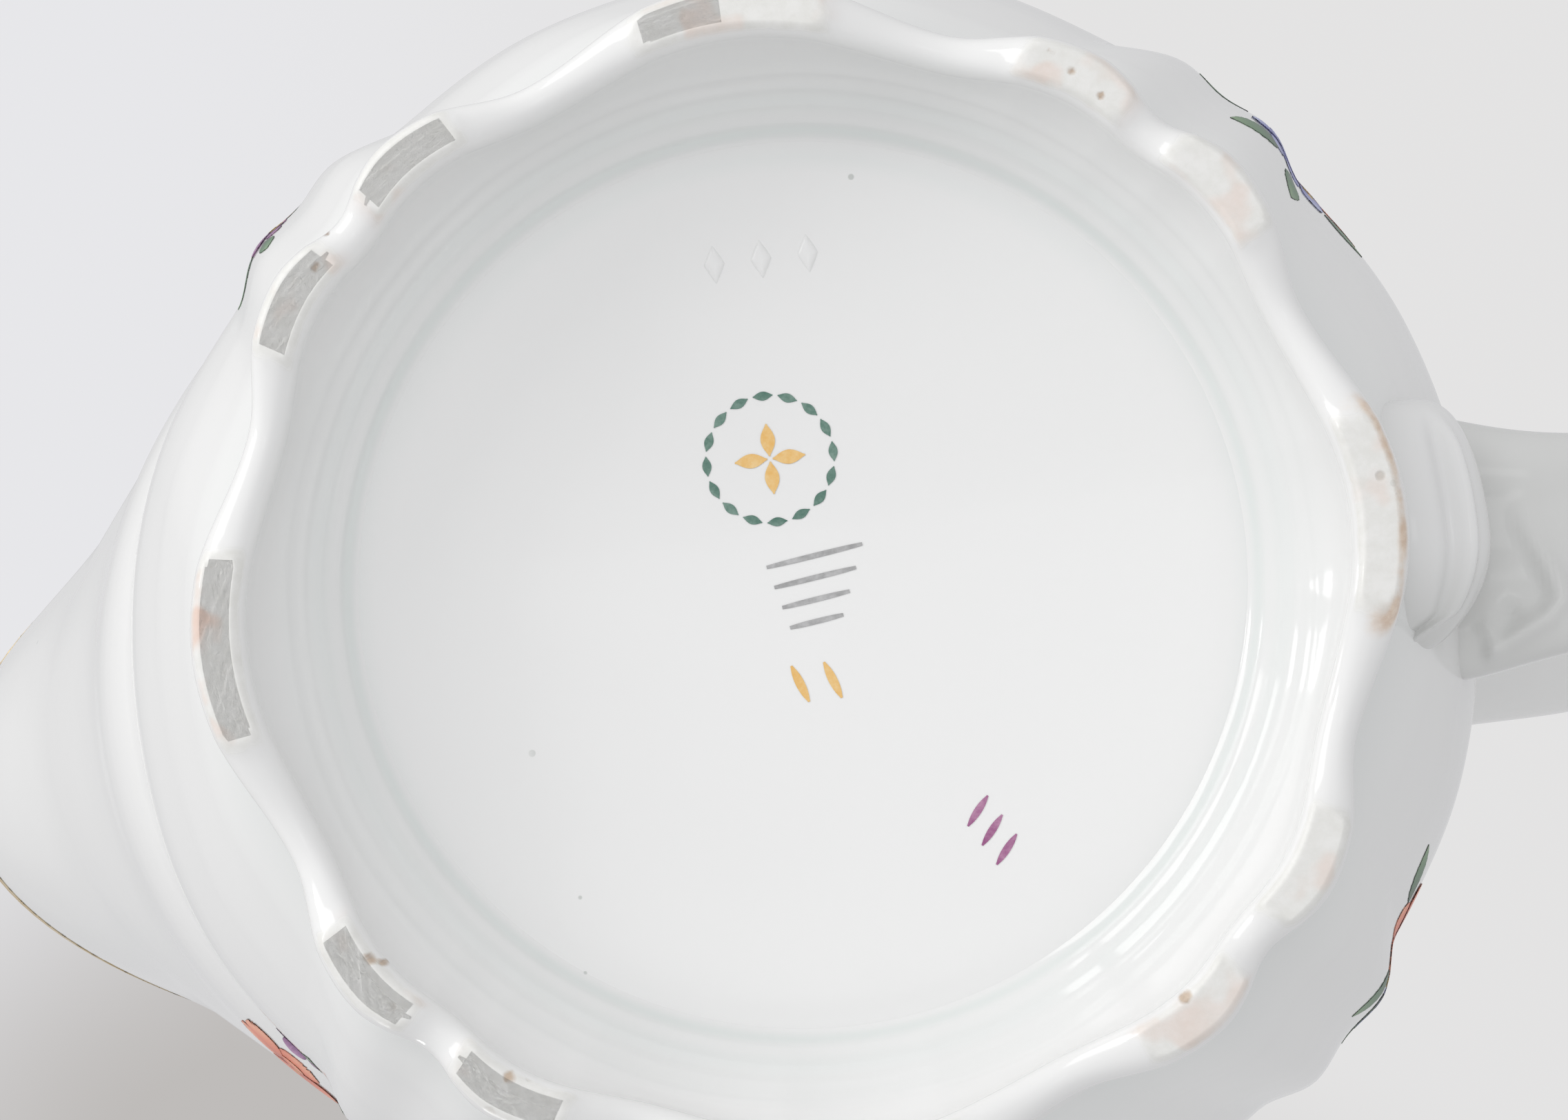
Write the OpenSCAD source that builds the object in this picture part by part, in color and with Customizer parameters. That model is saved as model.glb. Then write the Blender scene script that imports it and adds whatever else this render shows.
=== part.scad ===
// Baroque porcelain cream jug: a lobed, footed body with a broad pouring beak and one strap handle.
// Millimetres. +Z is up, +X is the pouring direction, -X is the handle.
// The origin is the middle of the foot, on the plane that the foot stands on.

/* [Foot] */
// Radius over the foot's wide lobes
foot_r = 32.4; // [31.8:0.1:33]
// Radius inside the foot rim, at the same lobes
foot_inner_r = 29.4; // [28.8:0.1:29.8]
// How far the foot's notches sink towards the middle
foot_notch = 1.35; // [0.6:0.05:1.6]
// How far the foot rim arches up in a notch
foot_arch = 1.4; // [0.8:0.1:2]
// Height of the underside of the floor above the table
recess_h = 9; // [8:0.5:10]
// Radius of the turned line where the hollow under the foot meets the floor
floor_line_r = 24.4; // [23:0.1:25.2]

/* [Body] */
// Wall thickness
wall = 2.6; // [2:0.1:3]
// Thickness of the floor
floor_t = 3.5; // [3:0.1:4]
// Height of the widest part of the belly
belly_h = 36; // [32:1:40]
// Height of the rim at the sides
rim_h = 87; // [84:1:90]
// Height of the beak's tip
lip_h = 97; // [94:1:100]
// Reach of the beak's tip from the middle of the foot
lip_reach = 69; // [66:0.5:72]
// How far the beak's lip curls out near the tip
lip_curl = 2.5; // [1:0.25:4]
// How far the paired ribs stand out of the belly
rib_relief = 0.8; // [0.4:0.1:1.4]

/* [Handle] */
// Reach of the handle from the middle of the foot
handle_reach = 69; // [66:0.5:72]
// Width of the strap at its narrowest
strap_w = 12; // [11:0.2:13]
// Thickness of the strap
strap_t = 6; // [5:0.25:7]
// Radius of the roll under the strap's lower end
scroll_r = 4.3; // [4:0.1:4.6]

/* [Decoration] */
// Thickness of gold and printed films as modelled
film_t = 0.25; // [0.2:0.05:0.4]
// Width of the gold line on the rim
gold_w = 1.5; // [1:0.1:2]
// Size of the printed flowers, 1 being the usual size
flower_size = 1; // [0.8:0.05:1.1]

/* [Hidden] */

COLS = 120;            // columns round the body and the foot
OUTER_ROWS = 19;       // rows up the outside of the body
INNER_ROWS = 14;       // rows down the inside
SINK = 0.12;           // how far a film reaches into the glaze that it is fired into
WIDE_HALF = 45;        // degrees from the middle of a rib pair to the middle of a wide panel
floor_r = 26;          // radius of the floor's disc
floor_top = recess_h + floor_t;

// ---- easing and curves ----
function lerp(a, b, t) = a + (b - a) * t;
function clamp01(t) = min(1, max(0, t));
function smooth(t) = let (c = clamp01(t)) c * c * (3 - 2 * c);
function ease(a, b, t) = lerp(a, b, (1 - cos(180 * clamp01(t))) / 2);
function unit(v) = v / norm(v);
function smooth_max(a, b, k) = let (h = max(k - abs(a - b), 0)) max(a, b) + h * h / (4 * k);

// Catmull-Rom curve through a list of points; u runs from 0 to len(p) - 1
function curve(p, u) =
    let (n = len(p) - 1, i = min(n - 1, max(0, floor(u))), t = u - i,
         a = p[max(0, i - 1)], b = p[i], c = p[i + 1], d = p[min(n, i + 2)])
    0.5 * ((2 * b) + (c - a) * t + (2 * a - 5 * b + 4 * c - d) * t * t
           + (3 * b - a - 3 * c + d) * t * t * t);
// The same curve as r over z, for points [z, r] with rising z
function over(p, z, i = 0) =
    i >= len(p) - 2 || z < p[i + 1][0]
        ? let (t = clamp01((z - p[i][0]) / (p[i + 1][0] - p[i][0]))) curve([for (q = p) q[1]], i + t)
        : over(p, z, i + 1);

// ---- outline of the body ----
// Radius of a plain turned body with this profile, before lobes and beak
PROFILE = [
    [0, foot_r - 0.2], [1.5, foot_r], [4, foot_r - 0.9], [6.5, foot_r - 1.2], [recess_h, foot_r - 0.2],
    [14, 34.9], [20, 37.3], [27, 39], [belly_h, 39.6], [46, 38.3], [56, 35.4], [66, 32.2],
    [76, 30.5], [86, 31.1], [lip_h + 1, 33],
];
// Degrees from the middle of the nearest rib pair, 0 to 45
function from_rib(a) = let (m = a - 90 * floor(a / 90)) abs(m - 45);
// An outline that swings between the middle of a rib pair, its rib, the groove beside it and the panel
function swing(d, rib_at, groove_at, panel_w, middle, rib, groove) =
    d < rib_at ? ease(middle, rib, d / rib_at)
    : d < groove_at ? ease(rib, groove, (d - rib_at) / (groove_at - rib_at))
    : ease(groove, 0, (d - groove_at) / min(panel_w, WIDE_HALF - groove_at));
// Lobes of the foot fade into the ribs of the belly, which fade again towards the rim
function lobes(a, z) =
    let (up = smooth(z / (belly_h - 6)), neck = 1 - 0.55 * smooth((z - belly_h) / 34),
         d = from_rib(a), rib_at = lerp(8, 4.2, up), groove_at = lerp(23.5, 9.8, up),
         panel_w = lerp(22, 15, up))
    swing(d, rib_at, groove_at, panel_w,
          lerp(-0.85, rib_relief * 0.55, up) * neck,
          lerp(0, rib_relief, up) * neck,
          lerp(-foot_notch, -rib_relief * 0.5, up) * neck);
// Height of the rim: waved, with a rise at the handle and a tall beak
function bump(a, half) = (abs(a) < half) ? (1 + cos(180 * a / half)) / 2 : 0;
function signed(a) = a - 360 * floor((a + 180) / 360);
function rim_z(a) =
    rim_h + (lip_h - rim_h) * bump(signed(a), 62) + 3 * bump(signed(a - 180), 60) - 0.7 * cos(4 * a);
// The beak: at each height the front half of an ellipse along +X, which grows out of the belly
BEAK_ROOT = [33, 39, 38];  // height where it starts, and its reach and half width there
BEAK_HALF = 27.5;          // half width that it would have at the rim's height
function beak_up(z) = clamp01((z - BEAK_ROOT[0]) / (lip_h - BEAK_ROOT[0]));
function beak_long(z) =
    BEAK_ROOT[1] + (lip_reach - lip_curl - BEAK_ROOT[1]) * pow(beak_up(z), 0.8)
    + lip_curl * smooth((beak_up(z) - 0.78) / 0.22);
function beak_half(z) = lerp(BEAK_ROOT[2], BEAK_HALF, smooth(beak_up(z) / 1.1));
function ellipse_r(a, long, half) =
    cos(a) <= 0 ? 0 : long * half / norm([half * cos(a), long * sin(a)]);
function outer_r(a, z) =
    let (r = over(PROFILE, z) + lobes(a, z))
    beak_up(z) <= 0 ? r : smooth_max(r, ellipse_r(a, beak_long(z), beak_half(z)), 4);

// ---- points on the body ----
function on_body(a, z) = [outer_r(a, z) * cos(a), outer_r(a, z) * sin(a), z];
function normal_at(a, z) =
    unit(cross(on_body(a + 0.6, z) - on_body(a - 0.6, z), on_body(a, z + 0.25) - on_body(a, z - 0.25)));
function up_at(a, z) = unit(on_body(a, z + 0.25) - on_body(a, z - 0.25));
function skin(a, z, out) = on_body(a, z) + out * normal_at(a, z);

// ---- meshes ----
// Faces of a grid of rows of points that closes both ways, the rows running up the outside
function ring_faces(rows, cols) = [
    for (i = [0:rows - 1], j = [0:cols - 1])
        let (k = (i + 1) % rows, l = (j + 1) % cols)
        each [[i * cols + j, k * cols + j, k * cols + l], [i * cols + j, k * cols + l, i * cols + l]]
];
module ring_solid(rows) {
    cols = len(rows[0]);
    polyhedron(points = [for (r = rows) each r], faces = ring_faces(len(rows), cols), convexity = 6);
}
// A solid lofted through closed sections, with flat ends
module loft(sections) {
    n = len(sections[0]);
    m = len(sections);
    sides = [
        for (i = [0:m - 2], j = [0:n - 1])
            let (l = (j + 1) % n)
            each [[i * n + j, (i + 1) * n + j, (i + 1) * n + l], [i * n + j, (i + 1) * n + l, i * n + l]]
    ];
    first = [for (j = [0:n - 1]) j];
    last = [for (j = [n - 1:-1:0]) (m - 1) * n + j];
    polyhedron(points = [for (s = sections) each s], faces = concat(sides, [first, last]), convexity = 6);
}
function columns() = [for (j = [0:COLS - 1]) j * 360 / COLS];

// ---- body ----
// Heights of the outer rows, which start where the foot ring ends
function row_z(a, t) = lerp(recess_h, rim_z(a), t);
// The lip is a half round over the wall's middle line; turn 0 is outside and 180 inside
function lip_point(a, turn) =
    let (z = rim_z(a), n = normal_at(a, z))
    on_body(a, z) - n * wall / 2 + (n * cos(turn) + up_at(a, z) * sin(turn)) * wall / 2;
function flat_point(a, r, z) = [r * cos(a), r * sin(a), z];
module body_shell() {
    color([0.93, 0.935, 0.93])
    ring_solid(concat(
        [for (i = [0:OUTER_ROWS]) [for (a = columns()) on_body(a, row_z(a, i / OUTER_ROWS))]],
        [for (turn = [45, 90, 135]) [for (a = columns()) lip_point(a, turn)]],
        [for (i = [0:INNER_ROWS]) [for (a = columns())
            skin(a, row_z(a, lerp(1, 0.1, i / INNER_ROWS)), -wall)]],
        [[for (a = columns()) flat_point(a, floor_r + 4, floor_top + 0.5)]],
        [[for (a = columns()) flat_point(a, floor_r, floor_top)]],
        [[for (a = columns()) flat_point(a, floor_r, recess_h)]]));
}

// The floor is a turned disc, with three small raised lozenges from its mould on the underside
module base_floor() {
    lozenge = [0.62, 1.15];
    color([0.93, 0.94, 0.935]) {
        rotate(180 / COLS) rotate_extrude($fn = 120)
            translate([0, recess_h]) square([floor_r * cos(180 / COLS), floor_t]);
        for (x = [-1, 0, 1]) translate([0.1 + x * 2.6, 18.7, recess_h - 0.15])
            linear_extrude(0.3) scale(lozenge) circle(r = 1, $fn = 4);
    }
}

// ---- foot ----
// Lift of the rim's lower edge: 0 on the pads that touch the table, most in the notches
PAD = 0.33;            // share of the swing that is ground flat as a pad
function foot_lift(a) =
    foot_arch * max(0, swing(from_rib(a), 8, 23.5, 22, 0.6, 0, 1) - PAD) / (1 - PAD);
// A row of the foot at height z on a lobe; the lift dies out up the wall
function foot_row(z, out, inner) = [
    for (a = columns())
        let (lift = foot_lift(a) * (1 - smooth(z / 7)), sway = swing(from_rib(a), 8, 23.5, 22, -0.3, 0, -1))
        inner
            ? flat_point(a, out + sway * 0.85 * (1 - smooth(z / recess_h)), z + lift)
            : flat_point(a, outer_r(a, z) + out, z + lift)
];
module foot_ring() {
    cove = [[0, 1.1], [-0.6, 2.4], [-1.5, 4], [-2.5, 5.6], [-3.7, 7.2]];
    color([0.94, 0.935, 0.92])
    ring_solid(concat(
        [foot_row(0, -0.7, false), foot_row(0.45, -0.15, false)],
        [for (z = [1.3, 2.4, 3.8, 5.2, 6.8, recess_h]) foot_row(z, 0, false)],
        [foot_row(recess_h, floor_line_r, true), foot_row(8.3, floor_line_r + 0.45, true)],
        [for (i = [len(cove) - 1:-1:0]) foot_row(cove[i][1], foot_inner_r + cove[i][0], true)],
        [foot_row(0.4, foot_inner_r + 0.15, true), foot_row(0, foot_inner_r + 0.5, true)]));
}

// ---- handle ----
// The strap's middle line in the X-Z plane, from the lower belly to the neck: [x, z]
HANDLE_OUT = strap_t / 2 - handle_reach;
HANDLE_LINE = [
    [-36.4, 21.6], [-44.4, 21.2], [-53, 25], [-59.8, 32.3], [HANDLE_OUT + 1.6, 42.3], [HANDLE_OUT, 53],
    [HANDLE_OUT + 1.4, 63.5], [-60.3, 73], [-53.4, 79.8], [-45, 82.3], [-37, 81.2], [-29.1, 79.2],
];
HANDLE_STEPS = 44;
SECTION_STEPS = 18;
// Flared a little at the root, and well above its middle where it spreads onto the neck
function strap_half(u) = strap_w / 2 * (1 + 0.28 * exp(-pow(u / 0.06, 2)) + 0.52 * smooth((u - 0.48) / 0.3));
// A flat oval with a raised bead along each edge of its outer face
function strap_section(turn, half) =
    let (x = cos(turn), y = sin(turn), side = pow(abs(x), 0.8) * sign(x), thick = pow(abs(y), 0.75) * sign(y),
         bead = y > 0 ? 0.16 * smooth((abs(x) - 0.3) / 0.5) - 0.14 * (1 - abs(x)) : 0)
    [half * side, strap_t / 2 * (thick + bead)];
function handle_at(u) = curve(HANDLE_LINE, u * (len(HANDLE_LINE) - 1));
function handle_along(u) = unit(handle_at(min(1, u + 0.005)) - handle_at(max(0, u - 0.005)));
// A point of the strap: across is along Y, out is away from the finger gap
function strap_point(u, across, out) =
    let (c = handle_at(u), t = handle_along(u))
    [c[0] - t[1] * out, across, c[1] + t[0] * out];
module handle() {
    color([0.92, 0.925, 0.92])
    loft([for (i = [0:HANDLE_STEPS]) [for (k = [0:SECTION_STEPS - 1])
        let (u = i / HANDLE_STEPS, s = strap_section(k * 360 / SECTION_STEPS, strap_half(u)))
        strap_point(u, s[0], s[1])]]);
}
// The roll that the strap's lower end curls into: a barrel lying across it, let into the belly by half a wall
module handle_scroll() {
    half = strap_w * 0.57;
    color([0.93, 0.935, 0.93])
    difference() {
        translate([-34, 0, 14.4]) rotate([90, 0, 0])
            rotate_extrude($fn = 48) polygon([
                for (i = [0:24]) [scroll_r * pow(sin(i * 7.5), 0.7), -half * cos(i * 7.5)]
            ]);
        rotate_extrude($fn = 120) polygon(concat(
            [[0, 40], [0, 0]],
            [for (z = [0, 4, recess_h, 12, 15, 18, 22, 27, 33, 40]) [over(PROFILE, z) - wall / 2, z]]));
    }
}

// ---- gold ----
module rim_gold_line() {
    color([0.78, 0.6, 0.25])
    ring_solid([
        [for (a = columns()) skin(a, rim_z(a) - gold_w, -SINK)],
        [for (a = columns()) skin(a, rim_z(a) - gold_w, film_t)],
        [for (a = columns()) skin(a, rim_z(a), film_t)],
        [for (a = columns()) lip_point(a, 60) + [0, 0, film_t]],
        [for (a = columns()) lip_point(a, 60) - [0, 0, SINK]],
        [for (a = columns()) skin(a, rim_z(a), -SINK)],
    ]);
}
// A gold line on each edge of the strap, over its upper half
module handle_gold_line(side) {
    steps = 22;
    color([0.78, 0.6, 0.25])
    loft([for (i = [0:steps])
        let (u = lerp(0.5, 0.93, i / steps), half = strap_half(u), out = strap_t / 2 * 0.86)
        [
            strap_point(u, side * (half - 2.3), out - SINK), strap_point(u, side * (half - 2.3), out + film_t),
            strap_point(u, side * (half - 1), out + film_t - 0.1), strap_point(u, side * (half - 1), out - 0.5),
        ]]);
}

// ---- printed flowers ----
// A film of this outline on the body: outline points are [across, up] in mm from the place [a, z]
function place(at, p) = let (r = outer_r(at[0], at[1])) [at[0] + p[0] / r * 180 / PI, at[1] + p[1]];
module film(at, outline) {
    n = len(outline);
    spots = concat([place(at, [0, 0])], [for (p = outline) place(at, p)]);
    polyhedron(
        points = concat([for (s = spots) skin(s[0], s[1], film_t)], [for (s = spots) skin(s[0], s[1], -SINK)]),
        faces = [
            for (i = [0:n - 1])
                let (k = 1 + i, l = 1 + (i + 1) % n, d = n + 1)
                each [[0, l, k], [d, k + d, l + d], [k, l, l + d], [k, l + d, k + d]]
        ]);
}
// An oval petal or leaf of this length and width, whose middle lies off from the place towards turn
function petal(off, turn, long, wide, n = 9) = [
    for (i = [0:n - 1])
        let (w = i * 360 / n, x = long / 2 * cos(w) + off, y = wide / 2 * sin(w))
        [x * cos(turn) - y * sin(turn), x * sin(turn) + y * cos(turn)]
];
// Petals are placed by their own middles, so that each film covers its own piece of the wall
module petal_film(at, off, turn, long, wide) {
    s = flower_size;
    film(place(at, [off * s * cos(turn), off * s * sin(turn)]), petal(0, turn, long * s, wide * s));
}
module blossom(at, petals, off, long, wide, turn = 0) {
    for (i = [0:petals - 1]) petal_film(at, off, turn + i * 360 / petals, long, wide);
}
// Sprays stand on both sides, and sprigs beside the ribs towards the beak and the handle
SIDES = [90, -90];
SPRIGS = [38, -37, 145, -145];
function spray(side, x, z) = place([side, 42], [x * (side > 0 ? 1 : -1), z]);
module poppy_petals() {
    color([0.85, 0.4, 0.27]) {
        for (s = SIDES) blossom(spray(s, -6, 4), 5, 4.2, 6.4, 5, 18);
        for (s = SPRIGS) blossom([s, 37], 4, 2, 3.2, 2.6, 45);
    }
}
module violet_petals() {
    color([0.4, 0.42, 0.66]) for (s = SIDES) {
        blossom(spray(s, 7, 8), 5, 2.8, 4.2, 3, 90);
        blossom(spray(s, 14, -3), 5, 2, 3, 2.2, 54);
    }
}
module aster_petals() {
    color([0.42, 0.2, 0.4]) {
        for (s = SIDES) blossom(spray(s, 4, -5), 7, 2.7, 3.8, 1.7, 10);
        for (s = SPRIGS) blossom([s, 42.5], 3, 1.1, 1.9, 1.3, 90);
    }
}
module flower_hearts() {
    color([0.83, 0.66, 0.25]) for (s = SIDES, p = [[-6, 4, 1.9], [7, 8, 1.2], [14, -3, 0.9], [4, -5, 1.4]])
        film(spray(s, p[0], p[1]), petal(0, 0, p[2], p[2]));
}
module leaves() {
    color([0.25, 0.4, 0.3]) {
        for (s = SIDES, p = [[-15, 1, 190, 7], [-13, -4, 215, 6.5], [-7, -8, 250, 6], [-2, 14, 100, 6],
                             [12, 13.5, 50, 5.5], [18.5, 1, 10, 5], [10.5, -9, 310, 6]])
            film(spray(s, p[0], p[1]), petal(0, s > 0 ? p[2] : 180 - p[2], p[3] * flower_size, 2.4 * flower_size));
        for (s = SPRIGS, t = [-1, 1]) film([s + 5.4 * t, 33.5 + t], petal(0, 60 * t, 4.4, 1.9));
    }
}

// ---- marks under the floor: plain shapes with no meaning, flat on it ----
module floor_film() {
    translate([0, 0, recess_h - film_t * 0.6]) linear_extrude(film_t * 0.6) children();
}
// A ring of small lozenges, with four petals in its middle
module base_beads() {
    color([0.28, 0.42, 0.33]) floor_film() for (w = [0:22.5:337.5])
        translate([0.9 + 3.5 * cos(w), 7.6 + 3.5 * sin(w)]) rotate(w) scale([0.45, 1]) circle(r = 0.75, $fn = 4);
}
module base_rosette() {
    color([0.85, 0.62, 0.3]) floor_film() for (w = [0:90:270])
        translate([0.9, 7.6]) rotate(w) translate([1.05, 0]) scale([1, 0.5]) circle(r = 0.9, $fn = 16);
}
module base_dashes() {
    color([0.6, 0.6, 0.6]) floor_film() for (i = [0:3])
        translate([-0.9 + i * 0.1, 2 - i * 1.2]) rotate(-7) square([5.4 - i * 0.8, 0.35], center = true);
}
// Two slanted strokes of the gilder and three of the painter
module strokes(count, gap, long) {
    for (i = [0:count - 1]) translate([i * gap, 0]) rotate(70) square([long, 0.4], center = true);
}
module gilder_mark() {
    color([0.85, 0.62, 0.3]) floor_film() translate([-1.1, -4.9]) strokes(2, 1.8, 2.2);
}
module painter_mark() {
    color([0.5, 0.25, 0.42]) floor_film() translate([-9.4, -15.2]) rotate(60) strokes(3, 1.3, 2);
}

body_shell();
base_floor();
foot_ring();
handle();
handle_scroll();
rim_gold_line();
handle_gold_line(1);  // handle_gold_line_left
handle_gold_line(-1);  // handle_gold_line_right
poppy_petals();
violet_petals();
aster_petals();
flower_hearts();
leaves();
base_beads();
base_rosette();
base_dashes();
gilder_mark();
painter_mark();
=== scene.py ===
"""Looks of a footed porcelain cream jug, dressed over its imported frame.

Sizes in the classes are millimetres, angles are degrees, and everything turns into metres as a mesh is made.
The frame has +Z up, +X the way the beak pours, and its origin in the middle of the foot on the table plane.
"""

import logging
import math
from dataclasses import dataclass, field
from enum import Enum

import bpy
import numpy as np
from mathutils import Euler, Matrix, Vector
from numpy.typing import NDArray


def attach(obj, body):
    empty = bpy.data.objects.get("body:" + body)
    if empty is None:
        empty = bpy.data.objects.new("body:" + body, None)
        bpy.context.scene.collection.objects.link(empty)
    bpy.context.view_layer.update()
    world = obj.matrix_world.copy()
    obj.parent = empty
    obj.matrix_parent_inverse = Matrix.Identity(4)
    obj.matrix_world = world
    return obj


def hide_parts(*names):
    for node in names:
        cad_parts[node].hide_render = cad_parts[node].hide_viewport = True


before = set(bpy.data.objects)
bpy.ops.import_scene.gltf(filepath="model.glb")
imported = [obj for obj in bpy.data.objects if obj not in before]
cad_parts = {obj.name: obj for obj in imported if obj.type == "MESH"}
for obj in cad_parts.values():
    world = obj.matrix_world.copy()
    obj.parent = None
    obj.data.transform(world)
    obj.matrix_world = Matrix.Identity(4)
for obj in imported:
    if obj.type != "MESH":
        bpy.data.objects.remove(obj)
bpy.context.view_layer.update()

Numbers = NDArray[np.float64]
Colour = tuple[float, float, float]
Value = float | Numbers

MM = 0.001
LOG = logging.getLogger("cream_jug")


# ---- sums ----

def lerp(a: Value, b: Value, t: Value) -> Value:
    """Value between a and b at the share t."""
    return a + (b - a) * t


def smooth(t: Value) -> Value:
    """Soft step from 0 to 1 as t goes from 0 to 1."""
    c = np.clip(t, 0.0, 1.0)
    return c * c * (3.0 - 2.0 * c)


def ease(a: Value, b: Value, t: Value) -> Value:
    """Half a cosine wave from a to b as t goes from 0 to 1."""
    return lerp(a, b, (1.0 - np.cos(np.pi * np.clip(t, 0.0, 1.0))) / 2.0)


def hump(x: Value, middle: float, width: float) -> Value:
    """Bell curve of height 1 round a middle."""
    return np.exp(-(((x - middle) / width) ** 2))


def cos_deg(a: Value) -> Value:
    """Cosine of an angle in degrees."""
    return np.cos(np.radians(a))


def sin_deg(a: Value) -> Value:
    """Sine of an angle in degrees."""
    return np.sin(np.radians(a))


def unit(v: Numbers) -> Numbers:
    """Vectors of length 1 along the last axis."""
    return v / np.maximum(np.linalg.norm(v, axis=-1, keepdims=True), 1e-12)


def catmull(knots: Numbers, u: Value) -> Numbers:
    """Catmull-Rom curve through a list of points.

    Args:
        knots: points, one in each row, or plain numbers.
        u: place along the curve, from 0 to the number of knots less 1.

    Returns:
        The point, or the number, at each place.
    """
    p = np.asarray(knots, float)
    last = len(p) - 1
    u = np.asarray(u, float)
    i = np.clip(np.floor(u).astype(int), 0, last - 1)
    t = u - i
    if p.ndim > 1:
        t = t[..., None]
    a, b, c, d = p[np.maximum(i - 1, 0)], p[i], p[i + 1], p[np.minimum(i + 2, last)]
    return 0.5 * (2 * b + (c - a) * t + (2 * a - 5 * b + 4 * c - d) * t**2 + (3 * b - a - 3 * c + d) * t**3)


def polar(a: Value, r: Value, z: Value) -> Numbers:
    """Points at angle a and radius r round the Z axis, at height z."""
    a, r, z = np.broadcast_arrays(np.asarray(a, float), r, z)
    return np.stack([r * cos_deg(a), r * sin_deg(a), z], -1)


# ---- meshes ----

@dataclass
class MeshStock:
    """Gathers grids of points, with their normals and painted values, and makes one mesh of them."""

    points: list[Numbers] = field(default_factory=list)
    normals: list[Numbers] = field(default_factory=list)
    faces: list[tuple[int, ...]] = field(default_factory=list)
    paint: dict[str, list[Numbers]] = field(default_factory=dict)
    count: int = 0

    def _store(self, points: Numbers, normals: Numbers, paint: dict[str, Numbers]) -> int:
        """Adds points with what belongs to them.

        Args:
            points: any grid of points.
            normals: the surface's directions at the points.
            paint: values to keep at the points, by name.

        Returns:
            The number of the first point.
        """
        flat = points.reshape(-1, 3)
        start = self.count
        self.points.append(flat)
        self.normals.append(normals.reshape(-1, 3))
        for name in set(self.paint) | set(paint):
            old = self.paint.setdefault(name, [np.zeros(start)] if start else [])
            new = paint.get(name, np.zeros(1))
            old.append(np.broadcast_to(new, points.shape[:-1]).reshape(-1))
        self.count += len(flat)
        return start

    def tube(self, points: Numbers, normals: Numbers, around: bool = False, ends: bool = False,
             **paint: Numbers) -> None:
        """Adds a grid whose rows are closed rings.

        Args:
            points: rows x columns x 3, the columns going round.
            normals: the surface's directions at the points.
            around: whether the last row joins the first.
            ends: whether flat faces close the first and the last row.
            **paint: values to keep at the points.
        """
        rows, cols = points.shape[:2]
        start = self._store(points, normals, paint)
        for i in range(rows if around else rows - 1):
            a, b = start + i * cols, start + (i + 1) % rows * cols
            self.faces += [(a + j, a + (j + 1) % cols, b + (j + 1) % cols, b + j) for j in range(cols)]
        if ends:
            self.faces.append(tuple(start + j for j in reversed(range(cols))))
            self.faces.append(tuple(start + (rows - 1) * cols + j for j in range(cols)))

    def slab(self, top: Numbers, base: Numbers, normals: Numbers, **paint: Numbers) -> None:
        """Adds a thin closed film between two grids of the same size.

        Args:
            top: rows x columns x 3, the outer side.
            base: the same for the side that is sunk in the glaze.
            normals: the surface's outward directions.
            **paint: values to keep at the points of the outer side.
        """
        if np.sum(patch_normals(top) * (top - base)) < 0:
            top, base, normals = top[:, ::-1], base[:, ::-1], normals[:, ::-1]
            paint = {key: np.broadcast_to(value, top.shape[:2])[:, ::-1] for key, value in paint.items()}
        rows, cols = top.shape[:2]
        upper = self._store(top, normals, paint)
        lower = self._store(base, -normals, paint)
        for i in range(rows - 1):
            for j in range(cols - 1):
                k = i * cols + j
                quad = (k, k + 1, k + cols + 1, k + cols)
                self.faces.append(tuple(upper + q for q in quad))
                self.faces.append(tuple(lower + q for q in reversed(quad)))
        edge = [(0, j) for j in range(cols)] + [(i, cols - 1) for i in range(1, rows)]
        edge += [(rows - 1, j) for j in range(cols - 2, -1, -1)] + [(i, 0) for i in range(rows - 2, 0, -1)]
        ids = [i * cols + j for i, j in edge]
        for a, b in zip(ids, ids[1:] + ids[:1]):
            self.faces.append((upper + b, upper + a, lower + a, lower + b))

    def build(self, name: str) -> bpy.types.Object:
        """Makes the object.

        Args:
            name: name of the piece.

        Returns:
            The object, in metres, with its normals and painted values.
        """
        mesh = bpy.data.meshes.new(name)
        mesh.from_pydata((np.concatenate(self.points) * MM).tolist(), [], self.faces)
        mesh.shade_smooth()
        mesh.normals_split_custom_set_from_vertices(unit(np.concatenate(self.normals)).tolist())
        for key, values in self.paint.items():
            layer = mesh.attributes.new(key, "FLOAT", "POINT")
            layer.data.foreach_set("value", np.concatenate(values).astype(np.float32))
        mesh.update()
        piece = bpy.data.objects.new(name, mesh)
        bpy.context.scene.collection.objects.link(piece)
        return piece


def ring_normals(points: Numbers) -> Numbers:
    """Outward directions of a grid of rings.

    Args:
        points: a grid that climbs as its rows go on and turns left as its columns do.

    Returns:
        A direction of length 1 for each point.
    """
    along = np.gradient(points, axis=0)
    round_ = np.roll(points, -1, axis=1) - np.roll(points, 1, axis=1)
    return unit(np.cross(round_, along))


def patch_normals(points: Numbers) -> Numbers:
    """Directions of an open grid, from its columns' way to its rows' way."""
    return unit(np.cross(np.gradient(points, axis=1), np.gradient(points, axis=0)))


def deliver(piece: bpy.types.Object, finish: bpy.types.Material, slot: str, *nodes: str) -> bpy.types.Object:
    """Dresses a piece, fixes it to the jug's body, and says what it stands for.

    Args:
        piece: the finished piece.
        finish: its material.
        slot: the record's slot for that finish; not used.
        *nodes: the frame's nodes that it replaces.

    Returns:
        The same piece.
    """
    piece.data.materials.clear()
    piece.data.materials.append(finish)
    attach(piece, "root")
    if nodes:
        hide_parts(*nodes)
    LOG.info("%s: %d faces, replaces %s", piece.name, len(piece.data.polygons), ", ".join(nodes) or "nothing")
    return piece


# ---- shader graphs ----

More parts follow.
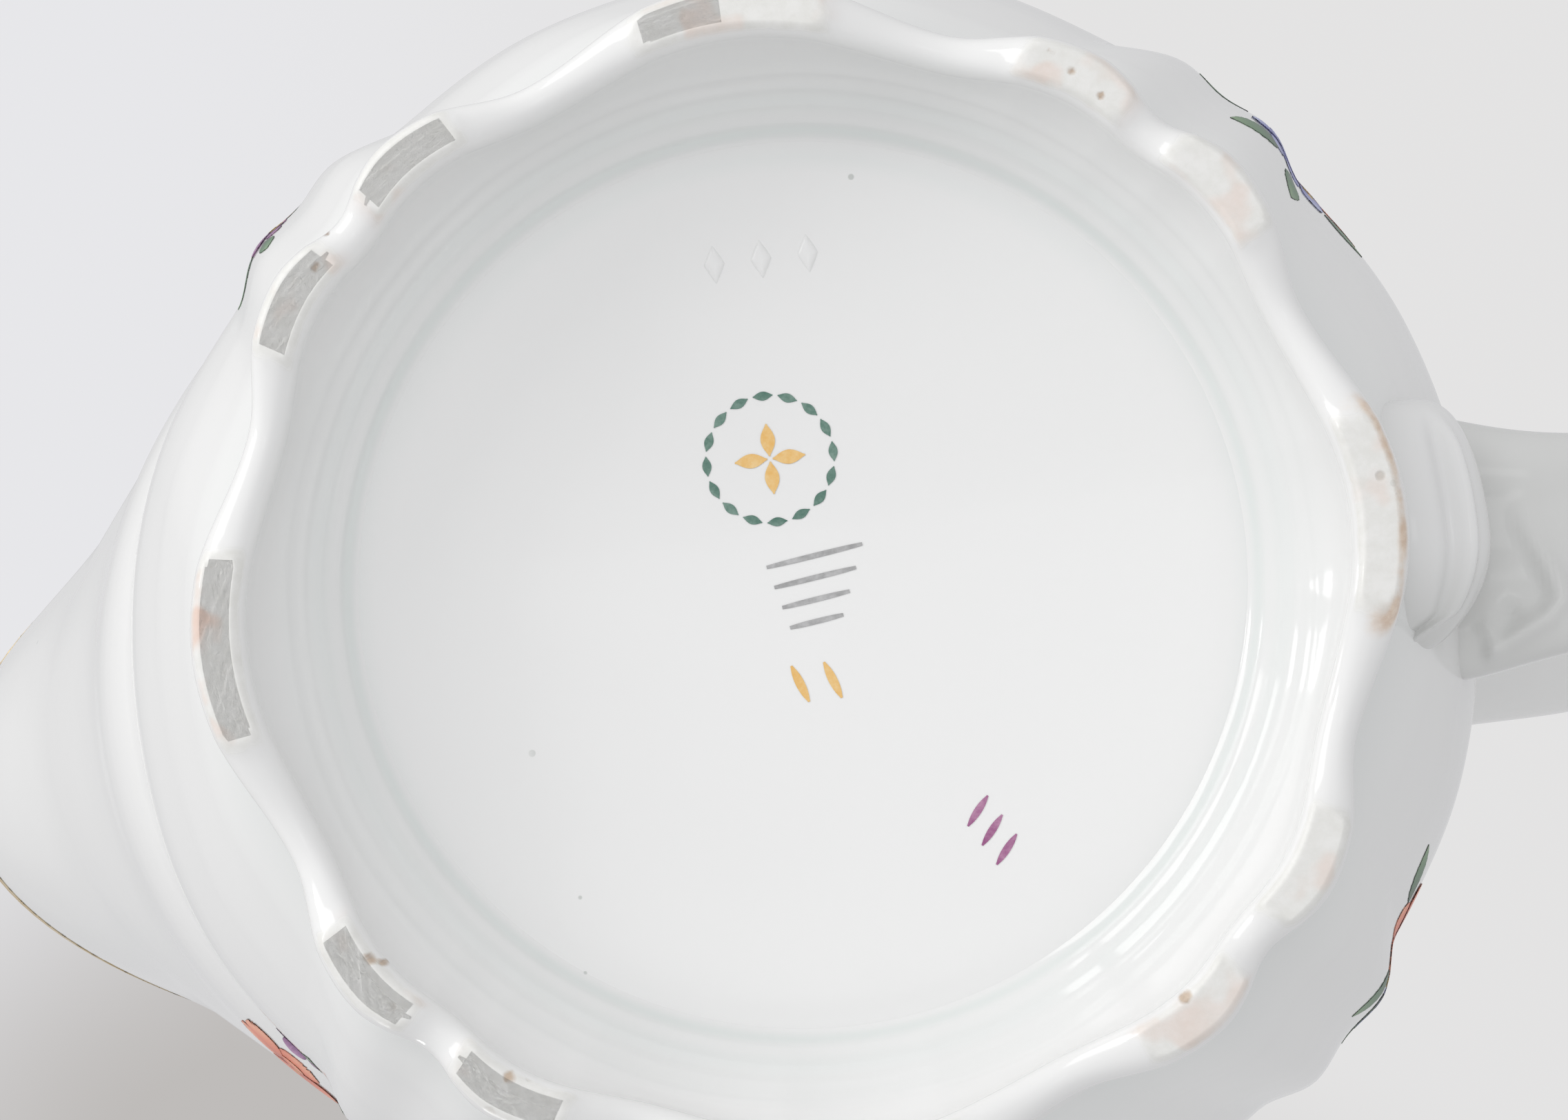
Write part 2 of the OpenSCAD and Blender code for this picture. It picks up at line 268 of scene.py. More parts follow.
@dataclass(frozen=True)
class Signal:
    """An output of a node, with sums that add their own Math nodes."""

    graph: "Graph"
    socket: bpy.types.NodeSocket

    def _sum(self, operation: str, *values: "Signal | float") -> "Signal":
        """Adds one Math node on these values."""
        return self.graph.node("ShaderNodeMath", {"operation": operation}, dict(enumerate(values)))

    def __add__(self, other: "Signal | float") -> "Signal":
        """self + other"""
        return self._sum("ADD", self, other)

    def __radd__(self, other: float) -> "Signal":
        """other + self"""
        return self._sum("ADD", other, self)

    def __sub__(self, other: "Signal | float") -> "Signal":
        """self - other"""
        return self._sum("SUBTRACT", self, other)

    def __rsub__(self, other: float) -> "Signal":
        """other - self"""
        return self._sum("SUBTRACT", other, self)

    def __mul__(self, other: "Signal | float") -> "Signal":
        """self * other"""
        return self._sum("MULTIPLY", self, other)

    def __rmul__(self, other: float) -> "Signal":
        """other * self"""
        return self._sum("MULTIPLY", other, self)

    def __pow__(self, power: "Signal | float") -> "Signal":
        """self ** power"""
        return self._sum("POWER", self, power)

    def __rpow__(self, base: float) -> "Signal":
        """base ** self"""
        return self._sum("POWER", base, self)

    def __abs__(self) -> "Signal":
        """Size without sign."""
        return self._sum("ABSOLUTE", self)

    def most(self, other: "Signal | float") -> "Signal":
        """The larger of the two."""
        return self._sum("MAXIMUM", self, other)

    def step(self, low: float, high: float) -> "Signal":
        """Soft step: 0 at low and 1 at high, or the other way round if low is the larger.

        Args:
            low: where the step starts.
            high: where it ends.

        Returns:
            A value from 0 to 1.
        """
        rising = high > low
        ends = {1: low, 2: high, 3: 0.0, 4: 1.0} if rising else {1: high, 2: low, 3: 1.0, 4: 0.0}
        return self.graph.node("ShaderNodeMapRange", {"interpolation_type": "SMOOTHSTEP"}, {0: self, **ends})

    def near(self, middle: float, width: float) -> "Signal":
        """A soft band: 1 at the middle, falling to 0 at that distance from it."""
        return abs(self - middle).step(width, 0.0)


class Graph:
    """The nodes of one material."""

    def __init__(self, name: str) -> None:
        """Starts an empty material.

        Args:
            name: the finish's name.
        """
        self.material = bpy.data.materials.new(name)
        self.material.use_nodes = True
        self.tree = self.material.node_tree
        self.tree.nodes.clear()

    def node(self, kind: str, settings: dict[str, object], inputs: dict[str | int, object],
             output: str | int = 0) -> Signal:
        """Adds a node of any kind.

        Args:
            kind: the node's type.
            settings: its own settings, set first.
            inputs: a value or a Signal for each socket, by name or number.
            output: which output to hand back.

        Returns:
            That output.
        """
        made = self.tree.nodes.new(kind)
        for key, value in settings.items():
            setattr(made, key, value)
        for key, value in inputs.items():
            if isinstance(value, Signal):
                self.tree.links.new(value.socket, made.inputs[key])
            else:
                made.inputs[key].default_value = value
        return Signal(self, made.outputs[output])

    def place(self) -> Signal:
        """The point of the surface, in the object's own metres."""
        return self.node("ShaderNodeTexCoord", {}, {}, "Object")

    def stretch(self, vector: Signal, by: tuple[float, float, float]) -> Signal:
        """A vector with each part multiplied."""
        return self.node("ShaderNodeVectorMath", {"operation": "MULTIPLY"}, {0: vector, 1: by})

    def parts(self, vector: Signal) -> tuple[Signal, Signal, Signal]:
        """The X, Y and Z of a vector."""
        first = self.node("ShaderNodeSeparateXYZ", {}, {0: vector})
        return first, Signal(self, first.socket.node.outputs[1]), Signal(self, first.socket.node.outputs[2])

    def joined(self, x: Signal | float, y: Signal | float, z: Signal | float) -> Signal:
        """A vector of three values."""
        return self.node("ShaderNodeCombineXYZ", {}, {0: x, 1: y, 2: z})

    def paint(self, name: str) -> Signal:
        """A value painted on the mesh's points."""
        return self.node("ShaderNodeAttribute", {"attribute_name": name}, {}, "Fac")

    def noise(self, vector: Signal, scale: float, detail: float = 3.0, rough: float = 0.55) -> Signal:
        """Cloudy noise from 0 to 1 at so many waves a metre."""
        return self.node("ShaderNodeTexNoise", {},
                         {"Vector": vector, "Scale": scale, "Detail": detail, "Roughness": rough}, "Fac")

    def specks(self, vector: Signal, scale: float, size: float) -> Signal:
        """Scattered round specks.

        Args:
            vector: where on the surface.
            scale: cells a metre.
            size: the largest speck's radius as a share of a cell.

        Returns:
            1 in a speck and 0 outside it; only some cells have one.
        """
        cell = self.node("ShaderNodeTexVoronoi", {}, {"Vector": vector, "Scale": scale})
        luck = self.node("ShaderNodeSeparateColor", {}, {0: Signal(self, cell.socket.node.outputs["Color"])})
        return (luck * size - cell).step(0.0, size * 0.3)

    def mix(self, share: Signal | float, a: "Signal | Colour", b: "Signal | Colour") -> Signal:
        """Colour a turning into b as the share goes from 0 to 1."""
        a, b = ((*c, 1.0) if isinstance(c, tuple) else c for c in (a, b))
        return self.node("ShaderNodeMix", {"data_type": "RGBA"}, {"Factor": share, 6: a, 7: b}, 2)

    def bump(self, height: Signal, metres: float) -> Signal:
        """A normal from a height of 0 to 1 that stands for so many metres."""
        return self.node("ShaderNodeBump", {}, {"Strength": 1.0, "Distance": metres, "Height": height})

    def shader(self, **inputs: object) -> Signal:
        """The Principled shader with these sockets, underscores standing for spaces."""
        return self.node("ShaderNodeBsdfPrincipled", {},
                         {key.replace("_", " "): value for key, value in inputs.items()})

    def close(self, surface: Signal) -> bpy.types.Material:
        """Ends the graph.

        Args:
            surface: the shader that the surface shows.

        Returns:
            The finished material.
        """
        end = self.tree.nodes.new("ShaderNodeOutputMaterial")
        self.tree.links.new(surface.socket, end.inputs["Surface"])
        return self.material


# ---- finishes ----

@dataclass(frozen=True)
class Glaze:
    """Clear glossy glaze over white porcelain, a little wavy, greenish where it pools; a copy given a darker
    grey pool colour paints shade with the same mask.
    """

    name: str = "white_glaze"
    body: Colour = (0.843, 0.844, 0.836)
    shade_and_pool_colour: Colour = (0.735, 0.785, 0.765)
    speck: Colour = (0.42, 0.45, 0.42)
    rough: float = 0.09
    wave: float = 0.00006
    foot_marks: bool = False
    turned: tuple[float, ...] = ()

    def build(self) -> bpy.types.Material:
        """Makes the glaze, with its ground pads and turned rings where the piece has them.

        Returns:
            The material.
        """
        g = Graph(self.name)
        here = g.place()
        cloud = g.noise(here, 45.0, 2.0)
        colour = g.mix(cloud.step(0.35, 0.75) * 0.35, self.body, tuple(c * 0.975 for c in self.body))
        # blends in the pool colour where painted: greenish pooled glaze on the body, foot and floor, painted
        # shade on the handle
        pool = g.paint("pool") * (0.75 + 0.5 * g.noise(here, 160.0))
        colour = g.mix(pool, colour, self.shade_and_pool_colour)
        dots = g.specks(here, 190.0, 0.045) * g.noise(here, 70.0).step(0.5, 0.56)
        colour = g.mix(dots * 0.6, colour, self.speck)
        relief = g.noise(here, 60.0, 1.5) * 0.8 + g.noise(here, 210.0, 1.0) * 0.12
        rough: Signal | float = cloud * 0.05 + (self.rough - 0.02)
        if self.turned:
            x, y, _ = g.parts(here)
            radius = (x * x + y * y) ** 0.5
            for ring in self.turned:
                relief = relief + radius.near(ring * MM, 0.35 * MM) * 0.22
        if self.foot_marks:
            colour, rough, relief = self._ground(g, here, colour, rough, relief)
        return g.close(g.shader(Base_Color=colour, Roughness=rough, IOR=1.52, Coat_Weight=0.25,
                                Coat_Roughness=0.03, Normal=g.bump(relief, self.wave)))

    @staticmethod
    def _ground(g: Graph, here: Signal, colour: Signal, rough: Signal,
                relief: Signal) -> tuple[Signal, Signal, Signal]:
        """Adds the matt ground pads, their scorched edges and their pits.

        Args:
            g: the glaze's graph.
            here: the surface's points.
            colour: the glaze's colour.
            rough: its roughness.
            relief: its relief.

        Returns:
            Colour, roughness and relief with the pads.
        """
        grain = g.noise(here, 900.0, 4.0, 0.7)
        ragged = g.noise(here, 380.0, 4.0, 0.6)
        pad = (g.paint("pad") + (ragged - 0.5) * 1.4).step(0.25, 0.85)
        cream = g.mix(grain.step(0.3, 0.7), (0.725, 0.72, 0.675), (0.815, 0.81, 0.78))
        colour = g.mix(pad * 0.65, colour, cream)
        patch = g.noise(here, 260.0, 2.0).step(0.52, 0.64)
        colour = g.mix(g.paint("blush") * patch * ragged, colour, (0.74, 0.46, 0.34))
        scorch = (g.paint("scorch") * (2.6 * ragged - 0.45)).step(0.15, 1.0)
        burnt = g.mix(grain.step(0.35, 0.65), (0.58, 0.35, 0.18), (0.76, 0.57, 0.40))
        colour = g.mix(scorch * 0.62, colour, burnt)
        pits = g.specks(here, 620.0, 0.34) * pad * g.noise(here, 150.0).step(0.5, 0.62)
        iron = (g.paint("spots") * (grain * 1.1 + ragged * 1.1 - 0.35)).step(0.3, 0.72)
        rust = g.mix(grain.step(0.3, 0.7), (0.22, 0.12, 0.06), (0.56, 0.43, 0.31))
        colour = g.mix(iron * 0.85, colour, rust)
        colour = g.mix(pits * 0.4, colour, (0.36, 0.30, 0.23))
        rough = rough + pad * 0.42
        relief = relief + pad * grain * 0.35 - pits * 0.7 - iron * 0.6
        return colour, rough, relief


@dataclass(frozen=True)
class Gold:
    """Thin fired gilding, burnished, worn a little on the edges."""

    name: str = "burnished_gold"
    bright: Colour = (0.83, 0.60, 0.27)
    dull: Colour = (0.52, 0.38, 0.17)

    def build(self) -> bpy.types.Material:
        """Makes the gilding.

        Returns:
            The material.
        """
        g = Graph(self.name)
        here = g.place()
        brushed = g.noise(g.stretch(here, (1.0, 1.0, 6.0)), 240.0, 3.0)
        worn = (g.paint("edge") * 0.55 + g.noise(here, 500.0)).step(0.72, 0.95)
        colour = g.mix(brushed, self.dull, self.bright)
        colour = g.mix(worn * 0.5, colour, (0.75, 0.68, 0.52))
        return g.close(g.shader(Base_Color=colour, Metallic=1.0 - worn * 0.7, Roughness=0.2 + 0.2 * brushed,
                                Normal=g.bump(brushed, 0.00003)))


@dataclass(frozen=True)
class Enamel:
    """Overglaze enamel laid on in strokes, from a deep heart to a paler edge."""

    name: str
    deep: Colour
    middle: Colour
    pale: Colour
    streaks: float = 9.0
    rim: float = 0.35

    def build(self) -> bpy.types.Material:
        """Makes the enamel.

        Returns:
            The material.
        """
        g = Graph(self.name)
        here = g.place()
        along, across, tone = g.paint("along"), g.paint("across"), g.paint("tone")
        strokes = g.noise(g.joined(across * self.streaks, along * 1.6, tone * 7.0), 1.0, 3.0, 0.6)
        share = along * 0.75 + (strokes - 0.5) * 0.9 + tone * 0.25
        colour = g.mix(share.step(0.0, 0.55), self.deep, self.middle)
        colour = g.mix(share.step(0.45, 1.05), colour, self.pale)
        edge = abs(across).step(0.72, 1.0).most(along.step(0.9, 1.0)) * (0.4 + strokes)
        colour = g.mix(edge * self.rim, colour, self.deep)
        return g.close(g.shader(Base_Color=colour, Roughness=0.22 + 0.25 * strokes, IOR=1.5,
                                Normal=g.bump(g.noise(here, 1500.0), 0.00002)))


@dataclass(frozen=True)
class Print:
    """Thin printed colour with the broken edge and grain of a transfer."""

    name: str
    ink: Colour
    faded: Colour
    rough: float = 0.3

    def build(self) -> bpy.types.Material:
        """Makes the print.

        Returns:
            The material.
        """
        g = Graph(self.name)
        here = g.place()
        grain = g.noise(here, 2600.0, 3.0, 0.7)
        patch = g.noise(here, 500.0, 2.0)
        colour = g.mix((grain * 0.6 + patch * 0.5).step(0.35, 0.8), self.ink, self.faded)
        return g.close(g.shader(Base_Color=colour, Roughness=self.rough + 0.2 * grain, IOR=1.5,
                                Normal=g.bump(grain, 0.00001)))


# ---- the jug's outline ----

@dataclass(frozen=True)
class JugForm:
    """Outer surface of the jug: a turned profile, its lobes and ribs, and the beak."""

    foot_r: float = 32.4
    foot_inner_r: float = 29.4
    foot_notch: float = 1.35
    foot_rib: float = 8.0
    foot_groove: float = 23.5
    foot_panel: float = 22.0
    foot_arch: float = 1.4
    recess_h: float = 9.0
    floor_line_r: float = 24.4
    wall: float = 2.6
    floor_t: float = 3.5
    floor_r: float = 26.0
    belly_h: float = 36.0
    rim_h: float = 87.0
    lip_h: float = 97.0
    lip_reach: float = 69.0
    lip_curl: float = 2.5
    rib_relief: float = 0.8
    pad_share: float = 0.33
    beak_root: tuple[float, float, float] = (33.0, 39.0, 38.0)
    beak_half: float = 27.5
    beak_blend: float = 8.0
    throat: float = 2.4
    throat_h: float = 34.0

    def profile(self, z: Value) -> Numbers:
        """Radius of the plain turned body.

        Args:
            z: height.

        Returns:
            The radius without lobes and beak.
        """
        knots = np.array([
            [0, self.foot_r - 0.2], [1.5, self.foot_r], [4, self.foot_r - 0.9], [6.5, self.foot_r - 1.2],
            [self.recess_h, self.foot_r - 0.2], [14, 34.9], [20, 37.3], [27, 39], [self.belly_h, 39.6],
            [46, 38.3], [56, 35.4], [66, 32.2], [76, 30.5], [86, 31.1], [self.lip_h + 1, 33]])
        z = np.asarray(z, float)
        i = np.clip(np.searchsorted(knots[:, 0], z, side="right") - 1, 0, len(knots) - 2)
        t = np.clip((z - knots[i, 0]) / (knots[i + 1, 0] - knots[i, 0]), 0.0, 1.0)
        return catmull(knots[:, 1], np.minimum(i + t, len(knots) - 1 - 1e-9))

    @staticmethod
    def from_rib(a: Value) -> Numbers:
        """Degrees from the middle of the nearest pair of ribs."""
        return np.abs(np.mod(a, 90.0) - 45.0)

    @staticmethod
    def swing(d: Value, rib_at: Value, groove_at: Value, panel: Value, middle: Value, rib: Value,
              groove: Value) -> Numbers:
        """Outline from the middle of a rib pair over its rib and groove to the wide panel.

        Args:
            d: degrees from the middle of the pair.
            rib_at: where the rib stands.
            groove_at: where the groove lies.
            panel: degrees over which the groove turns into the panel.
            middle: height in the middle of the pair.
            rib: height of the rib.
            groove: height of the groove.

        Returns:
            Height over the plain surface.
        """
        panel = np.minimum(panel, 45.0 - groove_at)
        return np.where(d < rib_at, ease(middle, rib, d / rib_at),
                        np.where(d < groove_at, ease(rib, groove, (d - rib_at) / (groove_at - rib_at)),
                                 ease(groove, 0.0, (d - groove_at) / panel)))

    def lobes(self, a: Value, z: Value) -> Numbers:
        """Height of lobes and ribs over the turned body.

        Args:
            a: angle round the jug.
            z: height.

        Returns:
            What is added to the radius.
        """
        up = smooth(np.asarray(z) / (self.belly_h - 6.0))
        neck = 1.0 - 0.55 * smooth((np.asarray(z) - self.belly_h) / 34.0)
        rib_at, groove_at = lerp(self.foot_rib, 4.2, up), lerp(self.foot_groove, 9.8, up)
        return self.swing(self.from_rib(a), rib_at, groove_at, lerp(self.foot_panel, 15.0, up),
                          lerp(-0.85, self.rib_relief * 0.55, up) * neck,
                          lerp(0.0, self.rib_relief, up) * neck,
                          lerp(-self.foot_notch, -self.rib_relief * 0.5, up) * neck)

    def rim_z(self, a: Value) -> Numbers:
        """Height of the rim: waved, high at the beak and raised a little at the handle.

        Args:
            a: angle round the jug.

        Returns:
            The height.
        """
        def bump(angle: Numbers, half: float) -> Numbers:
            """Cosine bump over that many degrees each way."""
            angle = np.mod(angle + 180.0, 360.0) - 180.0
            return np.where(np.abs(angle) < half, (1.0 + np.cos(np.pi * angle / half)) / 2.0, 0.0)
        a = np.asarray(a, float)
        return (self.rim_h + (self.lip_h - self.rim_h) * bump(a, 62.0) + 3.0 * bump(a - 180.0, 60.0)
                - 0.7 * cos_deg(4.0 * a))

    def radius(self, a: Value, z: Value) -> Numbers:
        """Outer radius of the jug.

        Args:
            a: angle round the jug.
            z: height.

        Returns:
            The radius, with lobes and beak.
        """
        a, z = np.broadcast_arrays(np.asarray(a, float), np.asarray(z, float))
        turned = np.abs(np.mod(a + 180.0, 360.0) - 180.0)
        throat = self.throat * hump(z, self.throat_h, 11.0) * smooth((60.0 - turned) / 50.0)
        plain = self.profile(z) + self.lobes(a, z) + throat
        root_z, root_long, root_half = self.beak_root
        up = np.clip((z - root_z) / (self.lip_h - root_z), 0.0, 1.0)
        long = (root_long + (self.lip_reach - self.lip_curl - root_long) * up**0.8
                + self.lip_curl * smooth((up - 0.5) / 0.5))
        half = lerp(root_half, self.beak_half, smooth(up / 1.1))
        long = long + throat
        beak = np.where(cos_deg(a) > 0, long * half / np.hypot(half * cos_deg(a), long * sin_deg(a)), 0.0)
        k = self.beak_blend
        h = np.maximum(k - np.abs(plain - beak), 0.0)
        return np.where(up <= 0, plain, np.maximum(plain, beak) + h * h / (4.0 * k) * smooth(up / 0.45))

    def on(self, a: Value, z: Value) -> Numbers:
        """Points on the outer surface."""
        return polar(a, self.radius(a, z), z)

    def normal(self, a: Value, z: Value) -> Numbers:
        """Outward directions of the outer surface.

        Args:
            a: angle round the jug.
            z: height.

        Returns:
            A direction of length 1 for each place.
        """
        a, z = np.broadcast_arrays(np.asarray(a, float), np.asarray(z, float))
        round_, climb = self.on(a + 0.3, z) - self.on(a - 0.3, z), self.on(a, z + 0.2) - self.on(a, z - 0.2)
        return unit(np.cross(round_, climb))

    def skin(self, a: Value, z: Value, out: Value) -> Numbers:
        """Points so far outside the outer surface."""
        out = np.asarray(out, float)
        return self.on(a, z) + (out[..., None] if out.ndim else out) * self.normal(a, z)

    def lip(self, a: Numbers, turn: float, radius: float) -> Numbers:
        """Points on the half-round lip.

        Args:
            a: angles round the jug.
            turn: 0 on the outside, 90 on top and 180 inside.
            radius: distance from the wall's middle line.

        Returns:
            One point for each angle.
        """
        z = self.rim_z(a)
        n = self.normal(a, z)
        up = unit(self.on(a, z + 0.25) - self.on(a, z - 0.25))
        return self.on(a, z) - n * self.wall / 2 + (n * cos_deg(turn) + up * sin_deg(turn)) * radius

    def foot_swing(self, a: Value, middle: float, groove: float) -> Numbers:
        """The foot's pattern of lobes, 0 on its ribs, with these heights in the pairs and the grooves."""
        return self.swing(self.from_rib(a), self.foot_rib, self.foot_groove, self.foot_panel,
                          middle, 0.0, groove)

    def foot_inner(self, a: Value) -> Numbers:
        """Inner radius of the foot's rim."""
        return self.foot_inner_r + 0.85 * self.foot_swing(a, -0.3, -1.0)

    def foot_lift(self, a: Value) -> Numbers:
        """How far the foot's rim arches up: 0 on its pads."""
        swing = self.foot_swing(a, 0.6, 1.0)
        return self.foot_arch * np.maximum(0.0, swing - self.pad_share) / (1.0 - self.pad_share)


# ---- clay pieces ----

@dataclass
class Body:
    """Body wall, foot ring and floor, made as one skin and parted where their clay joins."""

    form: JugForm
    columns: int = 480
    wall_rows: int = 110
    inner_rows: int = 46
    foot_rows: int = 16
    bead_rows: int = 34
    cove_rows: int = 80
    turned_at: tuple[float, ...] = (25.4, 26.3, 27.1, 27.9)
    floor_shift: float = 0.7
    floor_rows: int = 26
    bead_h: float = 1.4
    ground: float = 0.26
    iron_spots: tuple[tuple[float, float, float], ...] = (
        (40.1, 30.6, 0.42), (43.5, 31.4, 0.30), (-34.8, 29.9, 0.50), (-36.1, 29.5, 0.34),
        (-53.4, 30.0, 0.55), (-126.2, 29.8, 0.50), (125.2, 30.8, 0.45), (129.0, 30.4, 0.40),
        (122.6, 31.2, 0.36), (-2.0, 30.6, 0.28), (8.5, 31.0, 0.22))
    spot_core: float = 0.85

    def angles(self) -> Numbers:
        """Angles of the columns."""
        return np.arange(self.columns) * 360.0 / self.columns

    def bead(self) -> Numbers:
        """The foot's rounded rim, ground flat on its pads.

        Returns:
            Rows of points, from the outside to the inside.
        """
        f, a = self.form, self.angles()
        lift = f.foot_lift(a)
        middle_z = self.bead_h + lift
        outer = f.radius(a, middle_z)
        inner = f.foot_inner(a)
        turn = np.linspace(0.0, 180.0, self.bead_rows)[:, None]
        side = np.sign(cos_deg(turn)) * np.abs(cos_deg(turn)) ** 0.92
        r = (outer + inner) / 2 + (outer - inner) / 2 * side
        on_pad = 1.0 - smooth(lift / 0.5)
        natural = middle_z - (self.bead_h + self.ground * on_pad) * np.abs(sin_deg(turn)) ** 0.85
        return polar(a, r, np.maximum(natural, 0.0))

    def ground_paint(self, rim: Numbers) -> dict[str, Numbers]:
        """What the kiln and the grinding left on the rim.

        Args:
            rim: the rim's points, from the outside to the inside.

        Returns:
            Pads, scorched lines, pink blotches and iron spots, each 0 to 1 at every point.
        """
        turn = np.linspace(0.0, 180.0, self.bead_rows)[:, None]
        a = np.mod(self.angles() + 180.0, 360.0) - 180.0
        on_pad = 1.0 - smooth(self.form.foot_lift(a) / 0.5)
        pad = on_pad * smooth((turn - 20.0) / 30.0) * smooth((160.0 - turn) / 30.0)
        handle = 180.0 - np.abs(a)
        under = smooth((12.5 - handle) / 3.0)
        scorch = (hump(turn, 42.0, 18.0) + 0.22 * hump(turn, 142.0, 12.0)) * under
        scorch = scorch + 0.62 * hump(handle, 10.8, 1.9) * hump(turn, 72.0, 40.0)
        outer_line = hump(turn, 16.0, 8.0) * (
            smooth((26.0 - np.abs(a - 4.0)) / 10.0) + 0.8 * hump(a, -128.0, 22.0)
            + 0.7 * hump(a, 128.0, 14.0) + 0.6 * hump(a, -46.0, 16.0))
        spots = np.zeros(rim.shape[:2])
        for angle, radius, size in self.iron_spots:
            away = np.linalg.norm(rim[..., :2] - polar(angle, radius, 0.0)[:2], axis=-1)
            spots = np.maximum(spots, hump(away, 0.0, size * self.spot_core))
        blush = pad * np.where(np.abs(a) < 20.0, 1.0, 0.45)
        scorch = np.clip(scorch + 0.45 * outer_line, 0.0, 1.0)
        return {"pad": pad, "scorch": scorch, "blush": blush, "spots": spots}

    def cove(self) -> Numbers:
        """The turned hollow wall inside the foot.

        Returns:
            Rows of points, from the rim up to the floor's turned line.
        """
        f, a = self.form, self.angles()
        start = f.foot_inner(a)
        start_z = self.bead_h + f.foot_lift(a)
        u = np.linspace(0.0, 1.0, self.cove_rows)
        knots = np.array([[0, 0], [0.035, 0.14], [0.12, 0.3], [0.27, 0.47], [0.47, 0.65], [0.7, 0.81],
                          [0.87, 0.93], [0.95, 0.98], [1, 1]])
        share = np.clip(catmull(knots, u * (len(knots) - 1) * (1.0 - 1e-9)), 0.0, 1.0)
        r = start + (f.floor_line_r - start) * share[:, :1]
        for ring in self.turned_at:
            r = r - 0.07 * hump(r, ring, 0.22)
        z = start_z + (f.recess_h - start_z) * share[:, 1:]
        points = polar(a, r, z)
        points[..., 1] += self.floor_shift * smooth(share[:, 1:])
        return points

    def floor_rings(self) -> Numbers:
        """Rings of the floor's underside.

        Returns:
            Rows of points, from the turned line to the middle.
        """
        r = self.form.floor_line_r * np.linspace(1.0, 0.0, self.floor_rows) ** 0.9
        r[-1] = 0.02
        groove = 0.05 * hump(r, self.form.floor_line_r - 0.35, 0.25)
        dish = 0.12 * (1.0 - (r / self.form.floor_line_r) ** 2)
        points = polar(self.angles()[None, :], r[:, None], (self.form.recess_h + groove + dish)[:, None])
        points[..., 1] += self.floor_shift
        return points

    def build(self, glaze: bpy.types.Material, foot_glaze: bpy.types.Material,
              floor_glaze: bpy.types.Material) -> None:
        """Makes the three pieces.

        Args:
            glaze: finish of the body.
            foot_glaze: finish of the foot.
            floor_glaze: finish of the floor.
        """
        f, a = self.form, self.angles()
        bead = self.bead()
        cove = self.cove()
        floor = self.floor_rings()
        outer = [f.on(a, lerp(f.recess_h, f.rim_z(a), t)) for t in np.linspace(0, 1, self.wall_rows)]
        top_z = self.bead_h + f.foot_lift(a)
        foot_wall = [f.on(a, lerp(top_z, f.recess_h, t)) for t in np.linspace(0, 1, self.foot_rows)]
        lip = [f.lip(a, turn, f.wall / 2) for turn in np.linspace(0, 180, 13)[1:-1]]
        inner = [f.skin(a, lerp(f.recess_h, f.rim_z(a), t), -f.wall)
                 for t in np.linspace(1, 0.1, self.inner_rows)]
        bottom = [polar(a, f.floor_r + 4.0, f.recess_h + f.floor_t + 0.5),
                  polar(a, f.floor_r, f.recess_h + f.floor_t)]
        # the whole skin, from the middle of the floor over the foot and the rim to the inside
        skin = np.stack([*floor[::-1], *cove[::-1][1:], *bead[::-1][1:], *foot_wall[1:], *outer[1:],
                         *lip, *inner, *bottom])
        normals = ring_normals(skin)
        cut_floor = len(floor)
        cut_foot = cut_floor + len(cove) - 1 + len(bead) - 1 + len(foot_wall) - 1
        self._floor(skin[:cut_floor], normals[:cut_floor], floor_glaze)
        self._foot(skin[cut_floor - 1:cut_foot], normals[cut_floor - 1:cut_foot], bead, foot_glaze)
        self._wall(skin[cut_foot - 1:], normals[cut_foot - 1:], glaze)

    def _wall(self, skin: Numbers, normals: Numbers, glaze: bpy.types.Material) -> None:
        """Makes the body wall from its part of the skin.

        Args:
            skin: rows of points, from the foot over the rim to the inside.
            normals: their directions.
            glaze: its finish.
        """
        f, a = self.form, self.angles()
        hidden = polar(a, f.floor_r, f.recess_h)[None]
        stock = MeshStock()
        z = np.concatenate([skin, hidden])[..., 2]
        ribs = np.broadcast_to(f.from_rib(a), z.shape)
        pool = 0.25 * hump(z, f.recess_h, 4.0) + 0.15 * hump(ribs, 9.8, 1.6) * smooth((z - 12.0) / 10.0)
        stock.tube(np.concatenate([skin, hidden]), np.concatenate([normals, normals[-1:]]), around=True,
                   pool=pool)
        deliver(stock.build("body_wall"), glaze, "white_porcelain", "body_shell")

    def _foot(self, skin: Numbers, normals: Numbers, rim: Numbers, glaze: bpy.types.Material) -> None:
        """Makes the foot ring from its part of the skin.

        Args:
            skin: rows of points, from the floor's line over the rim to the body.
            normals: their directions.
            rim: the rim's own points, from the outside to the inside.
            glaze: its finish.
        """
        line = self.form.floor_line_r
        start = self.cove_rows - 1
        r = np.hypot(skin[..., 0], skin[..., 1] - self.floor_shift)
        inside = np.arange(len(skin))[:, None] < start + self.bead_rows // 2
        pool = np.where(inside, 0.6 * hump(r, line + 0.55, 0.32) + 0.3 * hump(r, line + 1.9, 0.7)
                        + 0.12 * hump(r, line + 3.4, 0.6), 0.0)
        paint = {"pool": pool}
        for name, values in self.ground_paint(rim).items():
            paint[name] = np.zeros(skin.shape[:2])
            paint[name][start:start + self.bead_rows] = values[::-1]
        stock = MeshStock()
        stock.tube(skin, normals, around=True, **paint)
        deliver(stock.build("foot_rim"), glaze, "foot_porcelain", "foot_ring")

